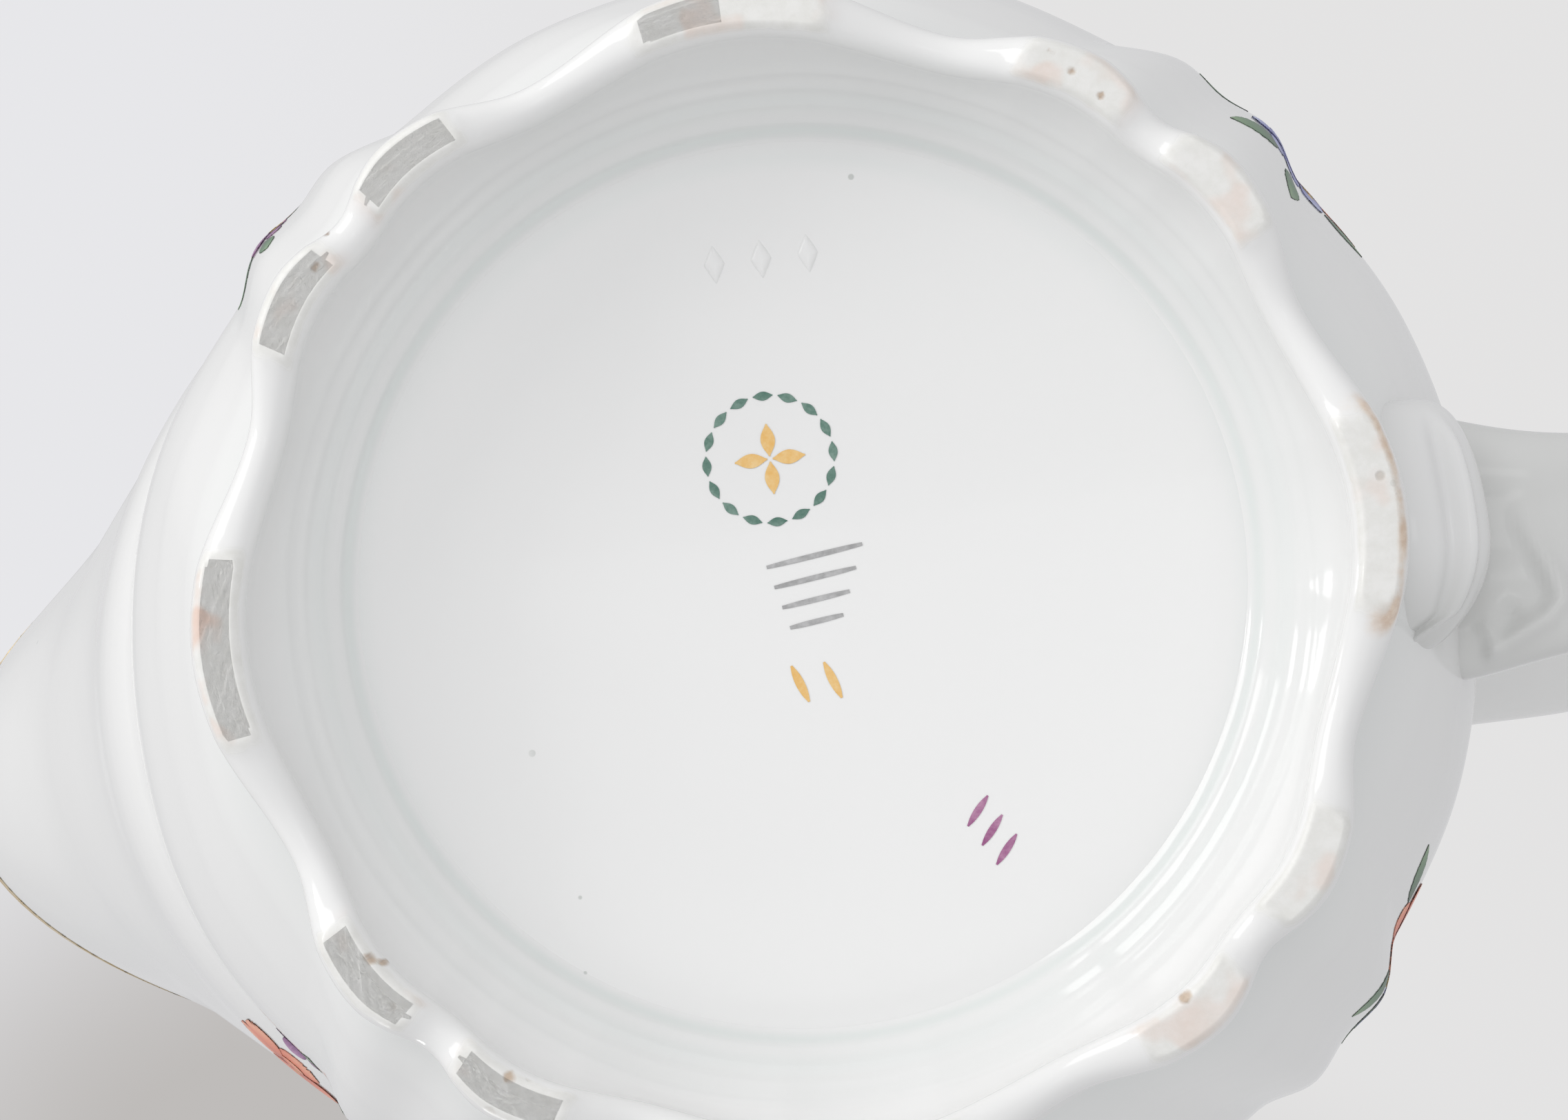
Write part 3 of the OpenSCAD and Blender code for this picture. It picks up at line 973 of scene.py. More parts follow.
    def _floor(self, skin: Numbers, normals: Numbers, glaze: bpy.types.Material) -> None:
        """Makes the floor disc, with three small raised lozenges from its mould.

        Args:
            skin: rows of points, from the middle of the floor to its turned line.
            normals: their directions.
            glaze: its finish.
        """
        f, a = self.form, self.angles()
        top = f.recess_h + f.floor_t
        rows = [skin, polar(a, f.floor_r, f.recess_h)[None], polar(a, f.floor_r, top)[None]]
        rows.append(np.stack([polar(a, r, top) for r in (24.0, 16.0, 8.0, 0.02)]))
        down, up = np.array([0.0, 0.0, -1.0]), np.array([0.0, 0.0, 1.0])
        flat = [normals, np.broadcast_to(down, (1, self.columns, 3)),
                np.broadcast_to(up, (5, self.columns, 3))]
        flat[0][:2] = down
        stock = MeshStock()
        points = np.concatenate(rows)
        r = np.hypot(points[..., 0], points[..., 1])
        stock.tube(points, np.concatenate(flat), ends=True, pool=0.25 * hump(r, f.floor_line_r, 0.5))
        for x in (-2.6, 0.0, 2.6):
            self._lozenge(stock, 0.1 + x, 18.7)
        deliver(stock.build("floor_disc"), glaze, "white_porcelain", "base_floor")

    def _lozenge(self, stock: MeshStock, x: float, y: float) -> None:
        """Adds one low raised lozenge on the floor's underside.

        Args:
            stock: the floor's mesh.
            x: its middle.
            y: its middle.
        """
        turn = np.arange(24) * 15.0
        shape = 1.0 / (np.abs(cos_deg(turn)) + np.abs(sin_deg(turn))) ** 0.85
        rings = []
        for share, low in ((0.02, 0.16), (0.35, 0.15), (0.65, 0.11), (0.88, 0.04), (1.0, -0.05)):
            reach = share * shape
            rings.append(np.stack([x + 0.62 * reach * cos_deg(turn), y + 1.15 * reach * sin_deg(turn),
                                   np.full(24, self.form.recess_h - low + 0.05)], -1))
        points = np.stack(rings)
        stock.tube(points, ring_normals(points), ends=True)


@dataclass
class Handle:
    """Strap handle with ridged edges, the roll under its lower end, and its gold lines."""

    reach: float = 69.0
    width: float = 12.0
    thick: float = 6.0
    steps: int = 260
    section: int = 96
    roll_x: float = -34.0
    roll_z: float = 14.4
    roll_r: float = 4.3
    aside: float = 1.4
    gold_t: float = 0.05
    gold_side: tuple[float, float] = (20.0, 34.0)
    welt: tuple[tuple[float, float], ...] = (
        (-40.4, 2.2), (-41.0, -0.6), (-42.0, -3.2), (-42.3, -4.7), (-41.4, -5.7), (-39.8, -6.5),
        (-38.3, -7.3))
    curl: tuple[tuple[float, float], ...] = ((-37.4, -5.4), (-38.1, -6.2), (-38.3, -7.3))

    def line(self, u: Value) -> Numbers:
        """The strap's middle line.

        Args:
            u: share along it, from the belly to the neck.

        Returns:
            X and Z.
        """
        out = self.thick / 2 - self.reach
        knots = np.array([
            [-36.4, 21.6], [-44.4, 21.2], [-53, 25], [-59.8, 32.3], [out + 1.6, 42.3], [out, 53],
            [out + 1.4, 63.5], [-60.3, 73], [-53.4, 79.8], [-45, 82.3], [-37, 81.2], [-29.1, 79.2]])
        return catmull(knots, np.clip(u, 0.0, 1.0 - 1e-9) * (len(knots) - 1))

    def along(self) -> Numbers:
        """Shares along the strap of its rows, closer together at the root."""
        return np.linspace(0.0, 1.0, self.steps)[:, None] ** 1.25

    def half(self, u: Value) -> Numbers:
        """Half the strap's width, flared at the belly and where it spreads onto the neck."""
        return self.width / 2 * (1.0 + 0.28 * hump(u, 0.0, 0.06) + 0.52 * smooth((u - 0.48) / 0.3))

    def point(self, u: Value, across: Value, out: Value) -> Numbers:
        """Points of the strap.

        Args:
            u: share along it.
            across: distance from its middle plane, along Y.
            out: distance from its middle line, away from the finger gap.

        Returns:
            Points in the jug's frame.
        """
        u, across, out = np.broadcast_arrays(u, across, out)
        across = across - self.aside * hump(u, 0.1, 0.13)
        c = self.line(u)
        way = unit(self.line(np.minimum(u + 0.003, 1.0)) - self.line(np.maximum(u - 0.003, 0.0)))
        return np.stack([c[..., 0] - way[..., 1] * out, across, c[..., 1] + way[..., 0] * out], -1)

    @staticmethod
    def ridge(x: Numbers, y: Numbers, line: tuple[tuple[float, float], ...], width: float) -> Numbers:
        """Height of a soft ridge along a drawn line.

        Args:
            x: points, along the jug.
            y: points, across the strap.
            line: corners of the line.
            width: half width of the ridge.

        Returns:
            A height of 0 to 1 that fades in from the line's first end.
        """
        best = np.zeros(np.broadcast(x, y).shape)
        corners = np.array(line)
        legs = len(corners) - 1
        for i in range(legs):
            a, leg = corners[i], corners[i + 1] - corners[i]
            share = np.clip(((x - a[0]) * leg[0] + (y - a[1]) * leg[1]) / (leg @ leg), 0.0, 1.0)
            away = np.hypot(x - a[0] - share * leg[0], y - a[1] - share * leg[1])
            best = np.maximum(best, hump(away, 0.0, width) * smooth((i + share) / legs * 2.2))
        return best

    def face(self, u: Value, turn: Value) -> tuple[Numbers, Numbers]:
        """Where the strap's section lies.

        Args:
            u: share along the strap.
            turn: angle round its section, 90 being the outer face.

        Returns:
            Share of the half width, and distance from the middle line.
        """
        c, s = cos_deg(turn), sin_deg(turn)
        side = np.sign(c) * np.abs(c) ** 0.8
        bead = np.where(s > 0, 0.16 * smooth((np.abs(side) - 0.3) / 0.5) - 0.14 * (1.0 - np.abs(side)), 0.0)
        out = self.thick / 2 * (np.sign(s) * np.abs(s) ** 0.75 + bead)
        return np.broadcast_arrays(side, out + 0.0 * u)

    def strap(self) -> tuple[Numbers, Numbers]:
        """The strap, with the welt and the small curl at its root.

        Returns:
            Rings of points, and their directions.
        """
        u = self.along()
        turn = -(np.arange(self.section) * 360.0 / self.section)[None, :]
        side, out = self.face(u, turn)
        plain = self.point(u, side * self.half(u), out)
        below = np.clip(sin_deg(turn), 0.0, 1.0) ** 0.5 * (u < 0.2)
        raised = (0.85 * self.ridge(plain[..., 0], plain[..., 1], self.welt, 0.6)
                  + 0.5 * self.ridge(plain[..., 0], plain[..., 1], self.curl, 0.42)
                  - 0.35 * hump(np.hypot(plain[..., 0] + 39.4, plain[..., 1] + 5.2), 0.0, 0.6))
        points = self.point(u, side * self.half(u), out + below * raised)
        return points, ring_normals(points)

    def build(self, glaze: bpy.types.Material, gold: bpy.types.Material) -> None:
        """Makes the strap, the roll and the two gold lines.

        Args:
            glaze: finish of the strap and the roll, a darker copy of the white glaze that paints shade.
            gold: finish of the lines.
        """
        stock = MeshStock()
        points, normals = self.strap()
        # painted shade: the strap's root is darkened towards the handle glaze's grey pool colour
        stock.tube(points, normals, ends=True,
                   pool=0.9 * hump(self.along(), 0.0, 0.3) * np.ones(self.section))
        deliver(stock.build("handle_strap"), glaze, "white_porcelain", "handle")
        self._roll(glaze)
        for side, name in ((1, "left"), (-1, "right")):
            self._gold_line(side, name, gold)

    def _roll(self, glaze: bpy.types.Material) -> None:
        """Makes the roll: a barrel blunt at one end and pointed at the other, with a thin rolled lip.

        Args:
            glaze: its finish.
        """
        half = self.width * 0.59
        along = np.linspace(2.0, 178.0, 110)[:, None]
        turn = (np.arange(120) * 3.0)[None, :]
        y = half * cos_deg(along)
        low = smooth((-y / half - 0.1) / 0.9)
        body = self.roll_r * sin_deg(along) ** lerp(0.55, 0.85, low)
        curl = 230.0 + 50.0 * smooth((-y / half - 0.7) / 0.3)
        gap = np.mod(turn - curl + 180.0, 360.0) - 180.0
        fade = smooth((0.93 - y / half) / 0.4)
        r = body * (1.0 + fade * (0.13 * hump(gap, 0.0, 7.0) - 0.13 * hump(gap, 15.0, 8.0)
                                  + 0.05 * hump(gap, 45.0, 25.0)))
        shift = 1.1 * low * smooth(along / 180.0)
        points = np.stack([self.roll_x + shift + r * cos_deg(turn), np.broadcast_to(y, r.shape),
                           self.roll_z + r * sin_deg(turn)], -1)
        stock = MeshStock()
        # painted shade: the roll's lower end is darkened towards the handle glaze's grey pool colour
        stock.tube(points, ring_normals(points), ends=True, pool=0.9 * low * np.ones(turn.shape))
        deliver(stock.build("handle_roll"), glaze, "white_porcelain", "handle_scroll")

    def _gold_line(self, side: int, name: str, gold: bpy.types.Material) -> None:
        """Makes the gold line on one edge of the strap's upper half.

        Args:
            side: 1 or -1 for the edge.
            name: that edge's name.
            gold: its finish.
        """
        u = np.linspace(0.5, 0.93, 120)[:, None]
        low, high = self.gold_side
        turns = np.linspace(low, high, 9)[None, :]
        turns = turns if side > 0 else 180.0 - turns
        top, base = (self._on_strap(u, turns, out) for out in (self.gold_t, -self.gold_t))
        edge = np.abs(np.linspace(-1, 1, 9))[None, :] ** 3 * np.ones_like(u)
        stock = MeshStock()
        stock.slab(top, base, unit(top - base), edge=edge)
        deliver(stock.build(f"gold_line_{name}"), gold, "gold", f"handle_gold_line_{name}")

    def _on_strap(self, u: Numbers, turn: Numbers, lift: float) -> Numbers:
        """Points on the strap's outer face, so far above it."""
        side, out = self.face(u, turn)
        return self.point(u, side * (self.half(u) + lift), out + lift)


# ---- decoration ----

@dataclass
class RimGold:
    """Gold band on the rim, over the outer edge of the lip."""

    form: JugForm
    width: float = 1.5
    thick: float = 0.05
    columns: int = 360

    def build(self, gold: bpy.types.Material) -> None:
        """Makes the band.

        Args:
            gold: its finish.
        """
        f = self.form
        a = np.arange(self.columns) * 360.0 / self.columns
        z = f.rim_z(a)
        down = np.linspace(1.0, 0.0, 8)
        turns = (0.0, 15.0, 30.0, 45.0, 60.0)
        outer = [f.skin(a, z - self.width * d, self.thick) for d in down]
        outer += [f.lip(a, t, f.wall / 2 + self.thick) for t in turns[1:]]
        inner = [f.lip(a, t, f.wall / 2 - self.thick) for t in turns[::-1]]
        inner += [f.skin(a, z - self.width * d, -self.thick) for d in down[::-1][1:]]
        points = np.stack(outer + inner)
        edge = np.concatenate([np.linspace(1, 0, 6), np.zeros(len(outer) - 6), np.zeros(len(inner))])
        stock = MeshStock()
        stock.tube(points, ring_normals(points), around=True, edge=edge[:, None] * np.ones(self.columns))
        deliver(stock.build("rim_gold"), gold, "gold", "rim_gold_line")


class Shape(Enum):
    """Outlines of petals and leaves."""

    ROUND = "round"
    FRILLED = "frilled"
    SLIM = "slim"
    LEAF = "leaf"
    STEM = "stem"


@dataclass
class Spray:
    """One bunch of printed flowers, drawn in millimetres across and up from its place on the wall."""

    form: JugForm
    angle: float
    height: float
    mirror: float = 1.0
    film: float = 0.04
    seed: int = 1

    def at(self, x: Numbers, y: Numbers) -> tuple[Numbers, Numbers]:
        """Angle and height of a drawn point."""
        r = self.form.radius(self.angle, self.height)
        return self.angle + self.mirror * x / r * 180.0 / np.pi, self.height + y

    def lay(self, stock: MeshStock, x: Numbers, y: Numbers, level: float, **paint: Numbers) -> None:
        """Lays a drawn grid on the wall as a thin film.

        Args:
            stock: the mesh that it goes into.
            x: the grid, across.
            y: the grid, up.
            level: how many films high it lies.
            **paint: values to keep at the points.
        """
        a, z = self.at(x, y)
        top = self.form.skin(a, z, self.film * level)
        base = self.form.skin(a, z, -self.film)
        stock.slab(top, base, self.form.normal(a, z), **paint)

    def petal(self, stock: MeshStock, shape: Shape, x: float, y: float, turn: float, long: float, wide: float,
              tone: float, level: float = 1.0) -> None:
        """Draws one petal, leaf or stem.

        Args:
            stock: the mesh that it goes into.
            shape: its outline.
            x: its root, across.
            y: its root, up.
            turn: the way it points.
            long: length.
            wide: full width.
            tone: its own shade, 0 to 1.
            level: how many films high it lies, so that overlaps stay apart.
        """
        rows, cols = (26, 13) if shape in (Shape.LEAF, Shape.FRILLED, Shape.STEM) else (16, 11)
        s = np.linspace(0.0, 1.0, rows)[:, None]
        t = np.linspace(-1.0, 1.0, cols)[None, :]
        width = {
            Shape.ROUND: np.sin(np.pi * np.clip(s, 0.02, 0.995) ** 1.35) ** 0.62,
            Shape.FRILLED: np.sin(np.pi * np.clip(s, 0.02, 0.99) ** 1.55) ** 0.5,
            Shape.SLIM: np.sin(np.pi * np.clip(s, 0.02, 0.985) ** 1.1) ** 0.8,
            Shape.LEAF: np.sin(np.pi * np.clip(s, 0.015, 0.99) ** 0.85) ** 0.9,
            Shape.STEM: np.full_like(s, 1.0) * lerp(1.0, 0.6, s),
        }[shape]
        along = s * np.ones_like(t)
        reach = along * long
        spread = t * width * wide / 2
        if shape is Shape.FRILLED:
            reach = reach + 0.06 * long * np.cos(7.0 * t + tone * 9.0) * s**4
        if shape is Shape.LEAF:
            spread = spread * (1.0 + 0.13 * (np.mod(s * 7.0, 1.0) - 0.5) * np.abs(t) ** 3)
        bend = {Shape.LEAF: 0.10, Shape.STEM: 0.16}.get(shape, 0.0) * long * (tone * 2.0 - 1.0)
        spread = spread + bend * (along**2 - along)
        c, d = math.cos(math.radians(turn)), math.sin(math.radians(turn))
        self.lay(stock, x + reach * c - spread * d, y + reach * d + spread * c, level,
                 along=along, across=t * np.ones_like(s), tone=np.full(along.shape, tone))

    def blossom(self, stock: MeshStock, shape: Shape, x: float, y: float, count: int, long: float,
                wide: float, turn: float = 0.0, start: float = 0.3) -> None:
        """Draws a ring of petals round a heart.

        Args:
            stock: the mesh that it goes into.
            shape: outline of its petals.
            x: its middle, across.
            y: its middle, up.
            count: how many petals.
            long: length of a petal.
            wide: width of a petal.
            turn: the way the first one points.
            start: how far from the middle they start.
        """
        shades = np.random.default_rng(self.seed + int(10 * abs(x)) + count)
        for i in range(count):
            way = turn + i * 360.0 / count + shades.uniform(-5, 5)
            root = math.radians(way)
            self.petal(stock, shape, x + start * math.cos(root), y + start * math.sin(root), way,
                       long * shades.uniform(0.9, 1.08), wide * shades.uniform(0.92, 1.05),
                       float(shades.uniform(0, 1)), 1.0 + 0.5 * (i % 3))


@dataclass
class Flowers:
    """All printed flowers: a spray on each side of the jug and four sprigs beside its ribs."""

    form: JugForm
    side_height: float = 42.0
    sprig_angles: tuple[float, ...] = (-34.5, 144.0, 40.5, -143.5)
    sprig_heights: tuple[float, ...] = (40.0, 24.0, 24.5, 27.0)
    stocks: dict[str, MeshStock] = field(default_factory=lambda: {
        key: MeshStock() for key in ("poppy", "violet", "aster", "heart", "leaf")})

    def side_spray(self, angle: float, mirror: float) -> None:
        """Draws the large spray on one side.

        Args:
            angle: where it stands round the jug.
            mirror: 1, or -1 to draw it the other way round.
        """
        s, k = Spray(self.form, angle, self.side_height, mirror, seed=int(abs(angle)) + 3), self.stocks
        for x, y, turn, long, wide, tone in (
                (-9, 3, 178, 9.5, 3.4, 0.2), (-8, 0, 207, 9.5, 3.2, 0.7), (-6, -2, 246, 8.5, 3.0, 0.4),
                (-3, 8, 112, 9, 3.0, 0.6), (9, 10.5, 52, 8, 2.8, 0.3), (16, -2, 14, 7.5, 2.5, 0.8),
                (8, -7, 306, 8.5, 2.9, 0.5), (2, 9, 78, 7, 2.2, 0.9), (12, 1.5, 32, 6, 2.0, 0.15)):
            s.petal(k["leaf"], Shape.LEAF, x, y, turn, long, wide, tone, 0.9)
        for x, y, turn, long, tone in ((-4, 1, -50, 17, 0.35), (6, 6, 232, 15, 0.7), (13, -4, 205, 12, 0.2)):
            s.petal(k["leaf"], Shape.STEM, x, y, turn, long, 0.55, tone, 0.7)
        s.blossom(k["poppy"], Shape.FRILLED, -6, 4, 5, 6.6, 6.6, 18.0, 0.6)
        s.blossom(k["poppy"], Shape.ROUND, -6, 4, 4, 3.6, 3.6, 50.0, 0.3)
        s.blossom(k["violet"], Shape.ROUND, 7, 8, 5, 4.4, 3.8, 90.0)
        s.blossom(k["violet"], Shape.ROUND, 14, -3, 5, 3.2, 2.7, 54.0)
        s.blossom(k["aster"], Shape.SLIM, 4, -5, 11, 4.6, 1.5, 10.0)
        for x, y, size in ((-6, 4, 1.7), (7, 8, 1.1), (14, -3, 0.85), (4, -5, 1.3)):
            s.blossom(k["heart"], Shape.ROUND, x, y, 7, size * 0.62, size * 0.55, 7.0, 0.05)

    def sprig(self, angle: float, kind: int) -> None:
        """Draws one small sprig.

        Args:
            angle: where it stands round the jug.
            kind: which of the four drawings.
        """
        s, k = Spray(self.form, angle, self.sprig_heights[kind], seed=11 + kind), self.stocks
        if kind == 0:
            s.blossom(k["poppy"], Shape.FRILLED, 2.2, 1.5, 5, 3.6, 3.4, 30.0, 0.4)
            s.blossom(k["poppy"], Shape.ROUND, 2.2, 1.5, 4, 2.0, 1.8, 66.0, 0.2)
            s.blossom(k["aster"], Shape.ROUND, 1.8, -6.0, 5, 2.2, 1.9, 12.0)
            s.blossom(k["violet"], Shape.ROUND, -3.4, -3.0, 5, 1.9, 1.5, 40.0)
            leaves = ((-1.2, -3.6, 250, 6.4, 2.6), (-2.4, 0.2, 212, 6.2, 2.4), (-0.6, 4.2, 150, 4.6, 1.8),
                      (-4.4, -5.4, 262, 5.0, 2.0), (0.2, -5.2, 272, 5.6, 2.0))
        elif kind == 1:
            s.blossom(k["violet"], Shape.ROUND, 0.6, 1.2, 5, 2.4, 2.0, 40.0, 0.3)
            s.blossom(k["violet"], Shape.ROUND, -1.8, -0.4, 4, 1.7, 1.4, 10.0, 0.2)
            s.blossom(k["poppy"], Shape.SLIM, 2.6, 4.6, 5, 2.6, 1.7, 60.0, 0.2)
            s.petal(k["poppy"], Shape.STEM, -4.6, 4.0, 24, 9.5, 0.7, 0.6, 0.8)
            leaves = ((-1.4, -2.0, 228, 4.4, 2.1), (0.4, -2.6, 290, 3.8, 1.8), (-4.4, 2.2, 172, 3.6, 1.8),
                      (3.2, 0.6, 20, 3.4, 1.6))
        elif kind == 2:
            s.blossom(k["aster"], Shape.ROUND, 0.8, 0.6, 4, 1.5, 1.3, 20.0, 0.2)
            s.blossom(k["poppy"], Shape.ROUND, 1.5, 4.5, 5, 2.2, 2.0, 30.0, 0.3)
            leaves = ((-0.6, 0.2, 165, 3.4, 1.5), (0.4, -1.2, 262, 2.8, 1.3), (2.2, 2.2, 60, 3.6, 1.6))
        else:
            s.blossom(k["poppy"], Shape.ROUND, -0.8, 1.6, 5, 2.8, 2.4, 30.0, 0.3)
            s.blossom(k["violet"], Shape.ROUND, 3.6, 4.8, 5, 2.0, 1.7, 10.0, 0.2)
            leaves = ((1.4, -0.6, 330, 4.0, 1.8), (-2.6, -0.8, 214, 4.2, 1.8), (2.6, 2.2, 24, 4.0, 1.7))
        for x, y, turn, long, wide in leaves:
            s.petal(k["leaf"], Shape.LEAF, x, y, turn, long, wide, 0.45, 0.9)
        s.blossom(k["heart"], Shape.ROUND, 1.6, 1.4, 5, 0.6, 0.55, 7.0, 0.05)

    def build(self, finishes: dict[str, bpy.types.Material]) -> None:
        """Draws every spray and sprig, then makes one piece for each colour.

        Args:
            finishes: enamel for poppy, violet, aster, heart and leaf.
        """
        self.side_spray(90.0, 1.0)
        self.side_spray(-90.0, -1.0)
        for kind, angle in enumerate(self.sprig_angles):
            self.sprig(angle, kind)
        names = {"poppy": ("poppy_films", "orange_enamel", "poppy_petals"),
                 "violet": ("violet_films", "violet_enamel", "violet_petals"),
                 "aster": ("aster_films", "purple_enamel", "aster_petals"),
                 "heart": ("heart_films", "yellow_enamel", "flower_hearts"),
                 "leaf": ("leaf_films", "green_enamel", "leaves")}
        for key, (name, slot, node) in names.items():
            deliver(self.stocks[key].build(name), finishes[key], slot, node)


@dataclass
class BaseMarks:
    """Plain printed shapes with no meaning, flat under the floor."""

    form: JugForm
    film: float = 0.03

    def _lay(self, stock: MeshStock, x: Numbers, y: Numbers) -> None:
        """Lays a drawn grid on the floor's underside.

        Args:
            stock: the mesh that it goes into.
            x: the grid.
            y: the grid.
        """
        dish = 0.12 * (1.0 - (x * x + y * y) / self.form.floor_line_r**2)
        z = self.form.recess_h + dish
        top, base = np.stack([x, y, z - self.film], -1), np.stack([x, y, z + self.film], -1)
        stock.slab(top, base, np.broadcast_to([0.0, 0.0, -1.0], top.shape).copy())

    def lozenge(self, stock: MeshStock, x: float, y: float, turn: float, long: float, wide: float,
                point: float = 1.0) -> None:
        """Draws a pointed oval.

        Args:
            stock: the mesh that it goes into.
            x: its middle.
            y: its middle.
            turn: the way it points.
            long: length.
            wide: width.
            point: 1 for a lens, less for a blunter end.
        """
        s = np.linspace(0.0, 1.0, 15)[:, None]
        t = np.linspace(-1.0, 1.0, 5)[None, :]
        along = (s - 0.5) * long * np.ones_like(t)
        side = t * np.sin(np.pi * np.clip(s, 0.03, 0.97)) ** point * wide / 2
        c, d = math.cos(math.radians(turn)), math.sin(math.radians(turn))
        self._lay(stock, x + along * c - side * d, y + along * d + side * c)

    def build(self, finishes: dict[str, bpy.types.Material]) -> None:
        """Makes the marks.

        Args:
            finishes: print for green, gold, grey and purple.
        """
        ring, rosette, dashes, gilder, painter = (MeshStock() for _ in range(5))
        for i in range(16):
            way = i * 22.5
            c, d = float(cos_deg(way)), float(sin_deg(way))
            self.lozenge(ring, 0.9 + 3.5 * c, 7.6 + 3.5 * d, way + 90, 1.1, 0.5)
        for way in (0.0, 90.0, 180.0, 270.0):
            c, d = float(cos_deg(way)), float(sin_deg(way))
            self.lozenge(rosette, 0.9 + 1.05 * c, 7.6 + 1.05 * d, way, 1.8, 0.8)
        for i in range(4):
            self.lozenge(dashes, -0.9 + i * 0.1, 2.0 - i * 1.2, -7.0, 5.4 - i * 0.8, 0.3, 0.2)
        for i in range(2):
            self.lozenge(gilder, -1.1 + 1.8 * i, -4.9, 70.0, 2.2, 0.5, 0.6)
        for i in range(3):
            self.lozenge(painter, -9.4 + 0.65 * i, -15.2 + 1.13 * i, 130.0, 2.0, 0.42, 0.6)
        for stock, name, key, slot, node in (
                (ring, "mark_ring", "green", "green_enamel", "base_beads"),
                (rosette, "mark_rosette", "gold", "mark_gold", "base_rosette"),
                (dashes, "mark_dashes", "grey", "mark_grey", "base_dashes"),
                (gilder, "gilder_strokes", "gold", "mark_gold", "gilder_mark"),
                (painter, "painter_strokes", "purple", "purple_enamel", "painter_mark")):
            deliver(stock.build(name), finishes[key], slot, node)


# ---- stage ----

@dataclass(frozen=True)
class Lamp:
    """One soft light, in metres and watts."""

    name: str
    place: tuple[float, float, float]
    aim: tuple[float, float, float]
    size: tuple[float, float]
    power: float
    colour: Colour = (1.0, 1.0, 1.0)
    shows: bool = True

    def hang(self) -> None:
        """Puts the light up."""
        light = bpy.data.lights.new(self.name, "AREA")
        light.shape = "RECTANGLE"
        light.size, light.size_y = self.size
        light.energy = self.power
        light.color = self.colour
        lamp = bpy.data.objects.new(self.name, light)
        lamp.location = self.place
        lamp.visible_glossy = self.shows
        lamp.rotation_euler = (Vector(self.aim) - Vector(self.place)).to_track_quat("-Z", "Y").to_euler()
        bpy.context.scene.collection.objects.link(lamp)


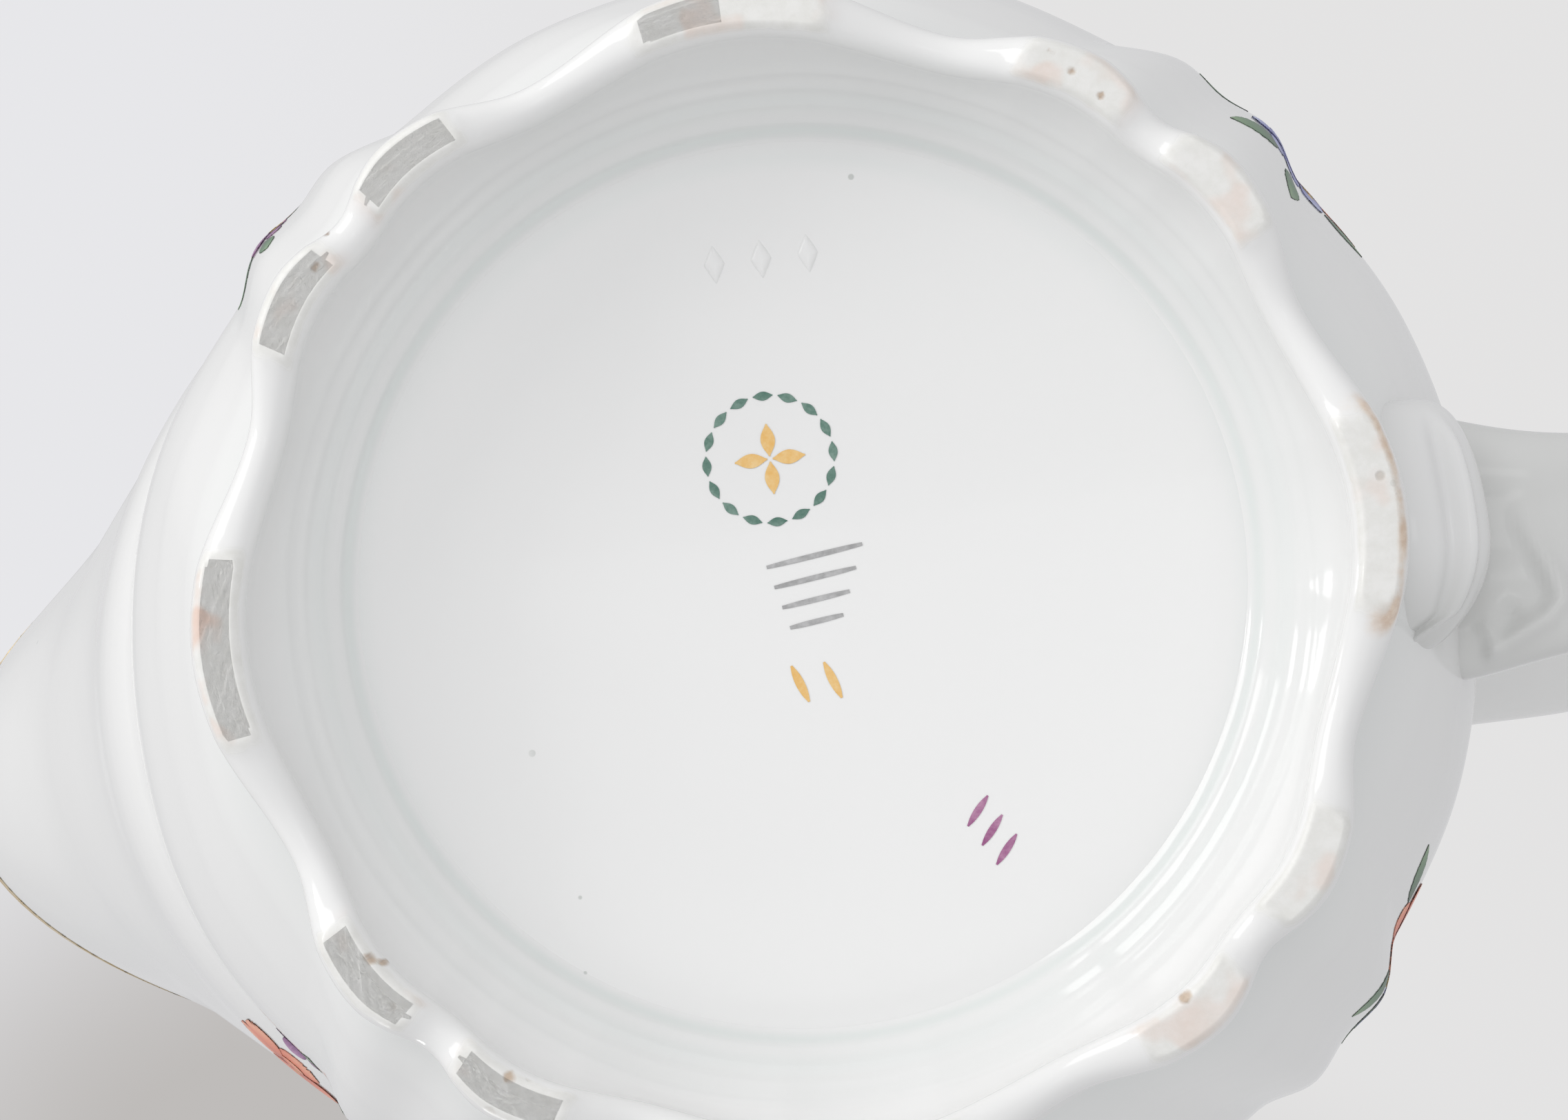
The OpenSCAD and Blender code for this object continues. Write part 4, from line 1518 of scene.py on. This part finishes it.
@dataclass(frozen=True)
class Studio:
    """Pale floor, backdrop, world light, lamps and camera."""

    floor_half: float = 3.0
    backdrop_z: float = 0.42
    backdrop_half: float = 0.32
    world: Colour = (0.985, 0.985, 1.0)
    world_power: float = 0.64
    focal: float = 94.2
    camera_at: tuple[float, float, float] = (-0.00747, -0.01868, -0.215)
    camera_turn: tuple[float, float, float] = (-175.024, -2.713, -173.271)
    lamps: tuple[Lamp, ...] = (
        Lamp("key_below", (0.34, 0.30, -0.16), (0.0, 0.0, 0.02), (0.34, 0.34), 0.75, (1.0, 0.99, 0.97)),
        Lamp("window_below", (0.42, 0.15, -0.17), (0.0, 0.0, 0.02), (0.05, 0.11), 0.25),
        Lamp("fill_below", (0.02, 0.10, -0.55), (0.0, 0.0, 0.0), (0.5, 0.5), 0.85, (0.99, 0.99, 1.0), False),
        Lamp("card_below", (0.0, 0.02, -0.6), (0.0, 0.0, 0.0), (0.14, 0.085), 0.02),
        Lamp("key_above", (0.15, -0.25, 1.1), (0.0, 0.0, 0.05), (0.9, 0.9), 3.2, (1.0, 0.98, 0.96), False),
        Lamp("fill_above", (-0.4, 0.3, 0.9), (0.0, 0.0, 0.05), (0.9, 0.9), 1.4, (0.97, 0.98, 1.0), False),
        Lamp("side_card", (0.75, -0.95, 0.42), (0.0, 0.0, 0.05), (0.22, 0.34), 1.3, (1.0, 0.99, 0.97)),
    )

    def build(self) -> None:
        """Sets the whole studio up."""
        scene = bpy.context.scene
        scene.view_settings.view_transform = "Standard"
        scene.view_settings.look = "None"
        self._world(scene)
        for lamp in self.lamps:
            lamp.hang()
        self._plane("studio_floor", self.floor_half, 0.0, self._floor_finish())
        self._plane("studio_backdrop", self.backdrop_half, self.backdrop_z, self._backdrop_finish())
        self._camera(scene)

    def _world(self, scene: bpy.types.Scene) -> None:
        """Sets an even pale light all round.

        Args:
            scene: the scene that it lights.
        """
        world = bpy.data.worlds.new("pale_room")
        world.use_nodes = True
        background = world.node_tree.nodes["Background"]
        background.inputs["Color"].default_value = (*self.world, 1.0)
        background.inputs["Strength"].default_value = self.world_power
        scene.world = world

    @staticmethod
    def _plane(name: str, half: float, z: float, finish: bpy.types.Material) -> None:
        """Makes a level sheet that only the camera sees, so that it neither shades nor lights the jug.

        Args:
            name: its name.
            half: half of its side, in metres.
            z: its height, in metres.
            finish: its material.
        """
        mesh = bpy.data.meshes.new(name)
        corners = [(-half, -half, z), (half, -half, z), (half, half, z), (-half, half, z)]
        mesh.from_pydata(corners, [], [(0, 1, 2, 3)])
        mesh.materials.append(finish)
        plane = bpy.data.objects.new(name, mesh)
        bpy.context.scene.collection.objects.link(plane)
        plane.visible_shadow = plane.visible_diffuse = False
        plane.visible_glossy = plane.visible_transmission = False

    @staticmethod
    def _one_sided(g: Graph, front: Signal, from_above: bool) -> bpy.types.Material:
        """Shows a shader on one side of a sheet and nothing on the other.

        Args:
            g: the sheet's graph.
            front: the shader.
            from_above: whether it shows from above, or else from below.

        Returns:
            The material.
        """
        clear = g.node("ShaderNodeBsdfTransparent", {}, {})
        back = g.node("ShaderNodeNewGeometry", {}, {}, "Backfacing")
        first, second = (front, clear) if from_above else (clear, front)
        return g.close(g.node("ShaderNodeMixShader", {}, {0: back, 1: first, 2: second}))

    def _floor_finish(self) -> bpy.types.Material:
        """A pale table top, seen from above only.

        Returns:
            The material.
        """
        g = Graph("pale_table")
        cloud = g.noise(g.place(), 2.0, 2.0)
        colour = g.mix(cloud, (0.80, 0.80, 0.80), (0.84, 0.84, 0.84))
        return self._one_sided(g, g.shader(Base_Color=colour, Roughness=0.6), True)

    def _backdrop_finish(self) -> bpy.types.Material:
        """A pale wall that glows by itself, painted lighter and bluer towards +X and with a painted soft warm
        shadow in one corner, seen from below only.

        Returns:
            The material.
        """
        g = Graph("pale_backdrop")
        x, y, _ = g.parts(g.place())
        cloud = 0.8 + 0.4 * g.noise(g.place(), 14.0, 1.0)
        # painted shadow: a soft warm patch in one corner, broken up by noise
        painted_shadow = (0.55 - y * 16.0 - abs(x - 0.11) * 9.0).step(-0.3, 1.1) * cloud
        # painted light: the glowing sheet turns lighter and bluer towards +X
        colour = g.mix(x.step(-0.02, 0.12), (0.775, 0.77, 0.77), (0.80, 0.80, 0.822))
        colour = g.mix(painted_shadow, colour, (0.52, 0.502, 0.49))
        glow = g.node("ShaderNodeEmission", {}, {"Color": colour, "Strength": 1.0})
        return self._one_sided(g, glow, False)

    def _camera(self, scene: bpy.types.Scene) -> None:
        """Sets the camera up under the foot.

        Args:
            scene: the scene that it belongs to.
        """
        lens = bpy.data.cameras.new("camera")
        lens.lens = self.focal
        lens.sensor_width = 36.0
        lens.clip_start, lens.clip_end = 0.01, 50.0
        camera = bpy.data.objects.new("camera", lens)
        camera.location = self.camera_at
        camera.rotation_euler = Euler([math.radians(v) for v in self.camera_turn], "XYZ")
        scene.collection.objects.link(camera)
        scene.camera = camera


def main() -> None:
    """Builds the studio and the jug piece by piece."""
    logging.basicConfig(level=logging.INFO, format="%(name)s: %(message)s")
    Studio().build()
    form = JugForm()
    glaze = Glaze().build()
    foot_glaze = Glaze(name="foot_glaze", foot_marks=True, turned=(25.6, 26.5, 27.6, 28.2)).build()
    floor_glaze = Glaze(name="floor_glaze", wave=0.00004).build()
    gold = Gold().build()
    # painted shade: the handle's glaze is a darker copy of the white glaze, grey where the white one turns
    # greenish
    handle_glaze_painted_shade = Glaze(name="handle_glaze_painted_shade", body=(0.82, 0.822, 0.815), shade_and_pool_colour=(0.665, 0.67, 0.655)).build()
    Body(form).build(glaze, foot_glaze, floor_glaze)
    Handle().build(handle_glaze_painted_shade, gold)
    RimGold(form).build(gold)
    Flowers(form).build({
        "poppy": Enamel("orange_enamel", (0.42, 0.045, 0.02), (0.78, 0.17, 0.07), (0.90, 0.42, 0.25)).build(),
        "violet": Enamel("violet_enamel", (0.07, 0.07, 0.28), (0.20, 0.22, 0.52), (0.52, 0.56, 0.78)).build(),
        "aster": Enamel("purple_enamel", (0.07, 0.015, 0.08), (0.20, 0.05, 0.20), (0.45, 0.22, 0.42)).build(),
        "heart": Enamel("yellow_enamel", (0.40, 0.22, 0.03), (0.72, 0.48, 0.07), (0.85, 0.68, 0.22)).build(),
        "leaf": Enamel("green_enamel", (0.015, 0.05, 0.025), (0.06, 0.16, 0.07), (0.24, 0.38, 0.20),
                       5.0).build()})
    BaseMarks(form).build({
        "green": Print("mark_green", (0.07, 0.17, 0.13), (0.22, 0.33, 0.28)).build(),
        "gold": Print("mark_gold", (0.80, 0.46, 0.12), (0.86, 0.62, 0.30)).build(),
        "grey": Print("mark_grey", (0.33, 0.33, 0.33), (0.55, 0.55, 0.55)).build(),
        "purple": Print("mark_purple", (0.30, 0.08, 0.22), (0.52, 0.28, 0.42)).build()})


if __name__ == "__main__":
    main()
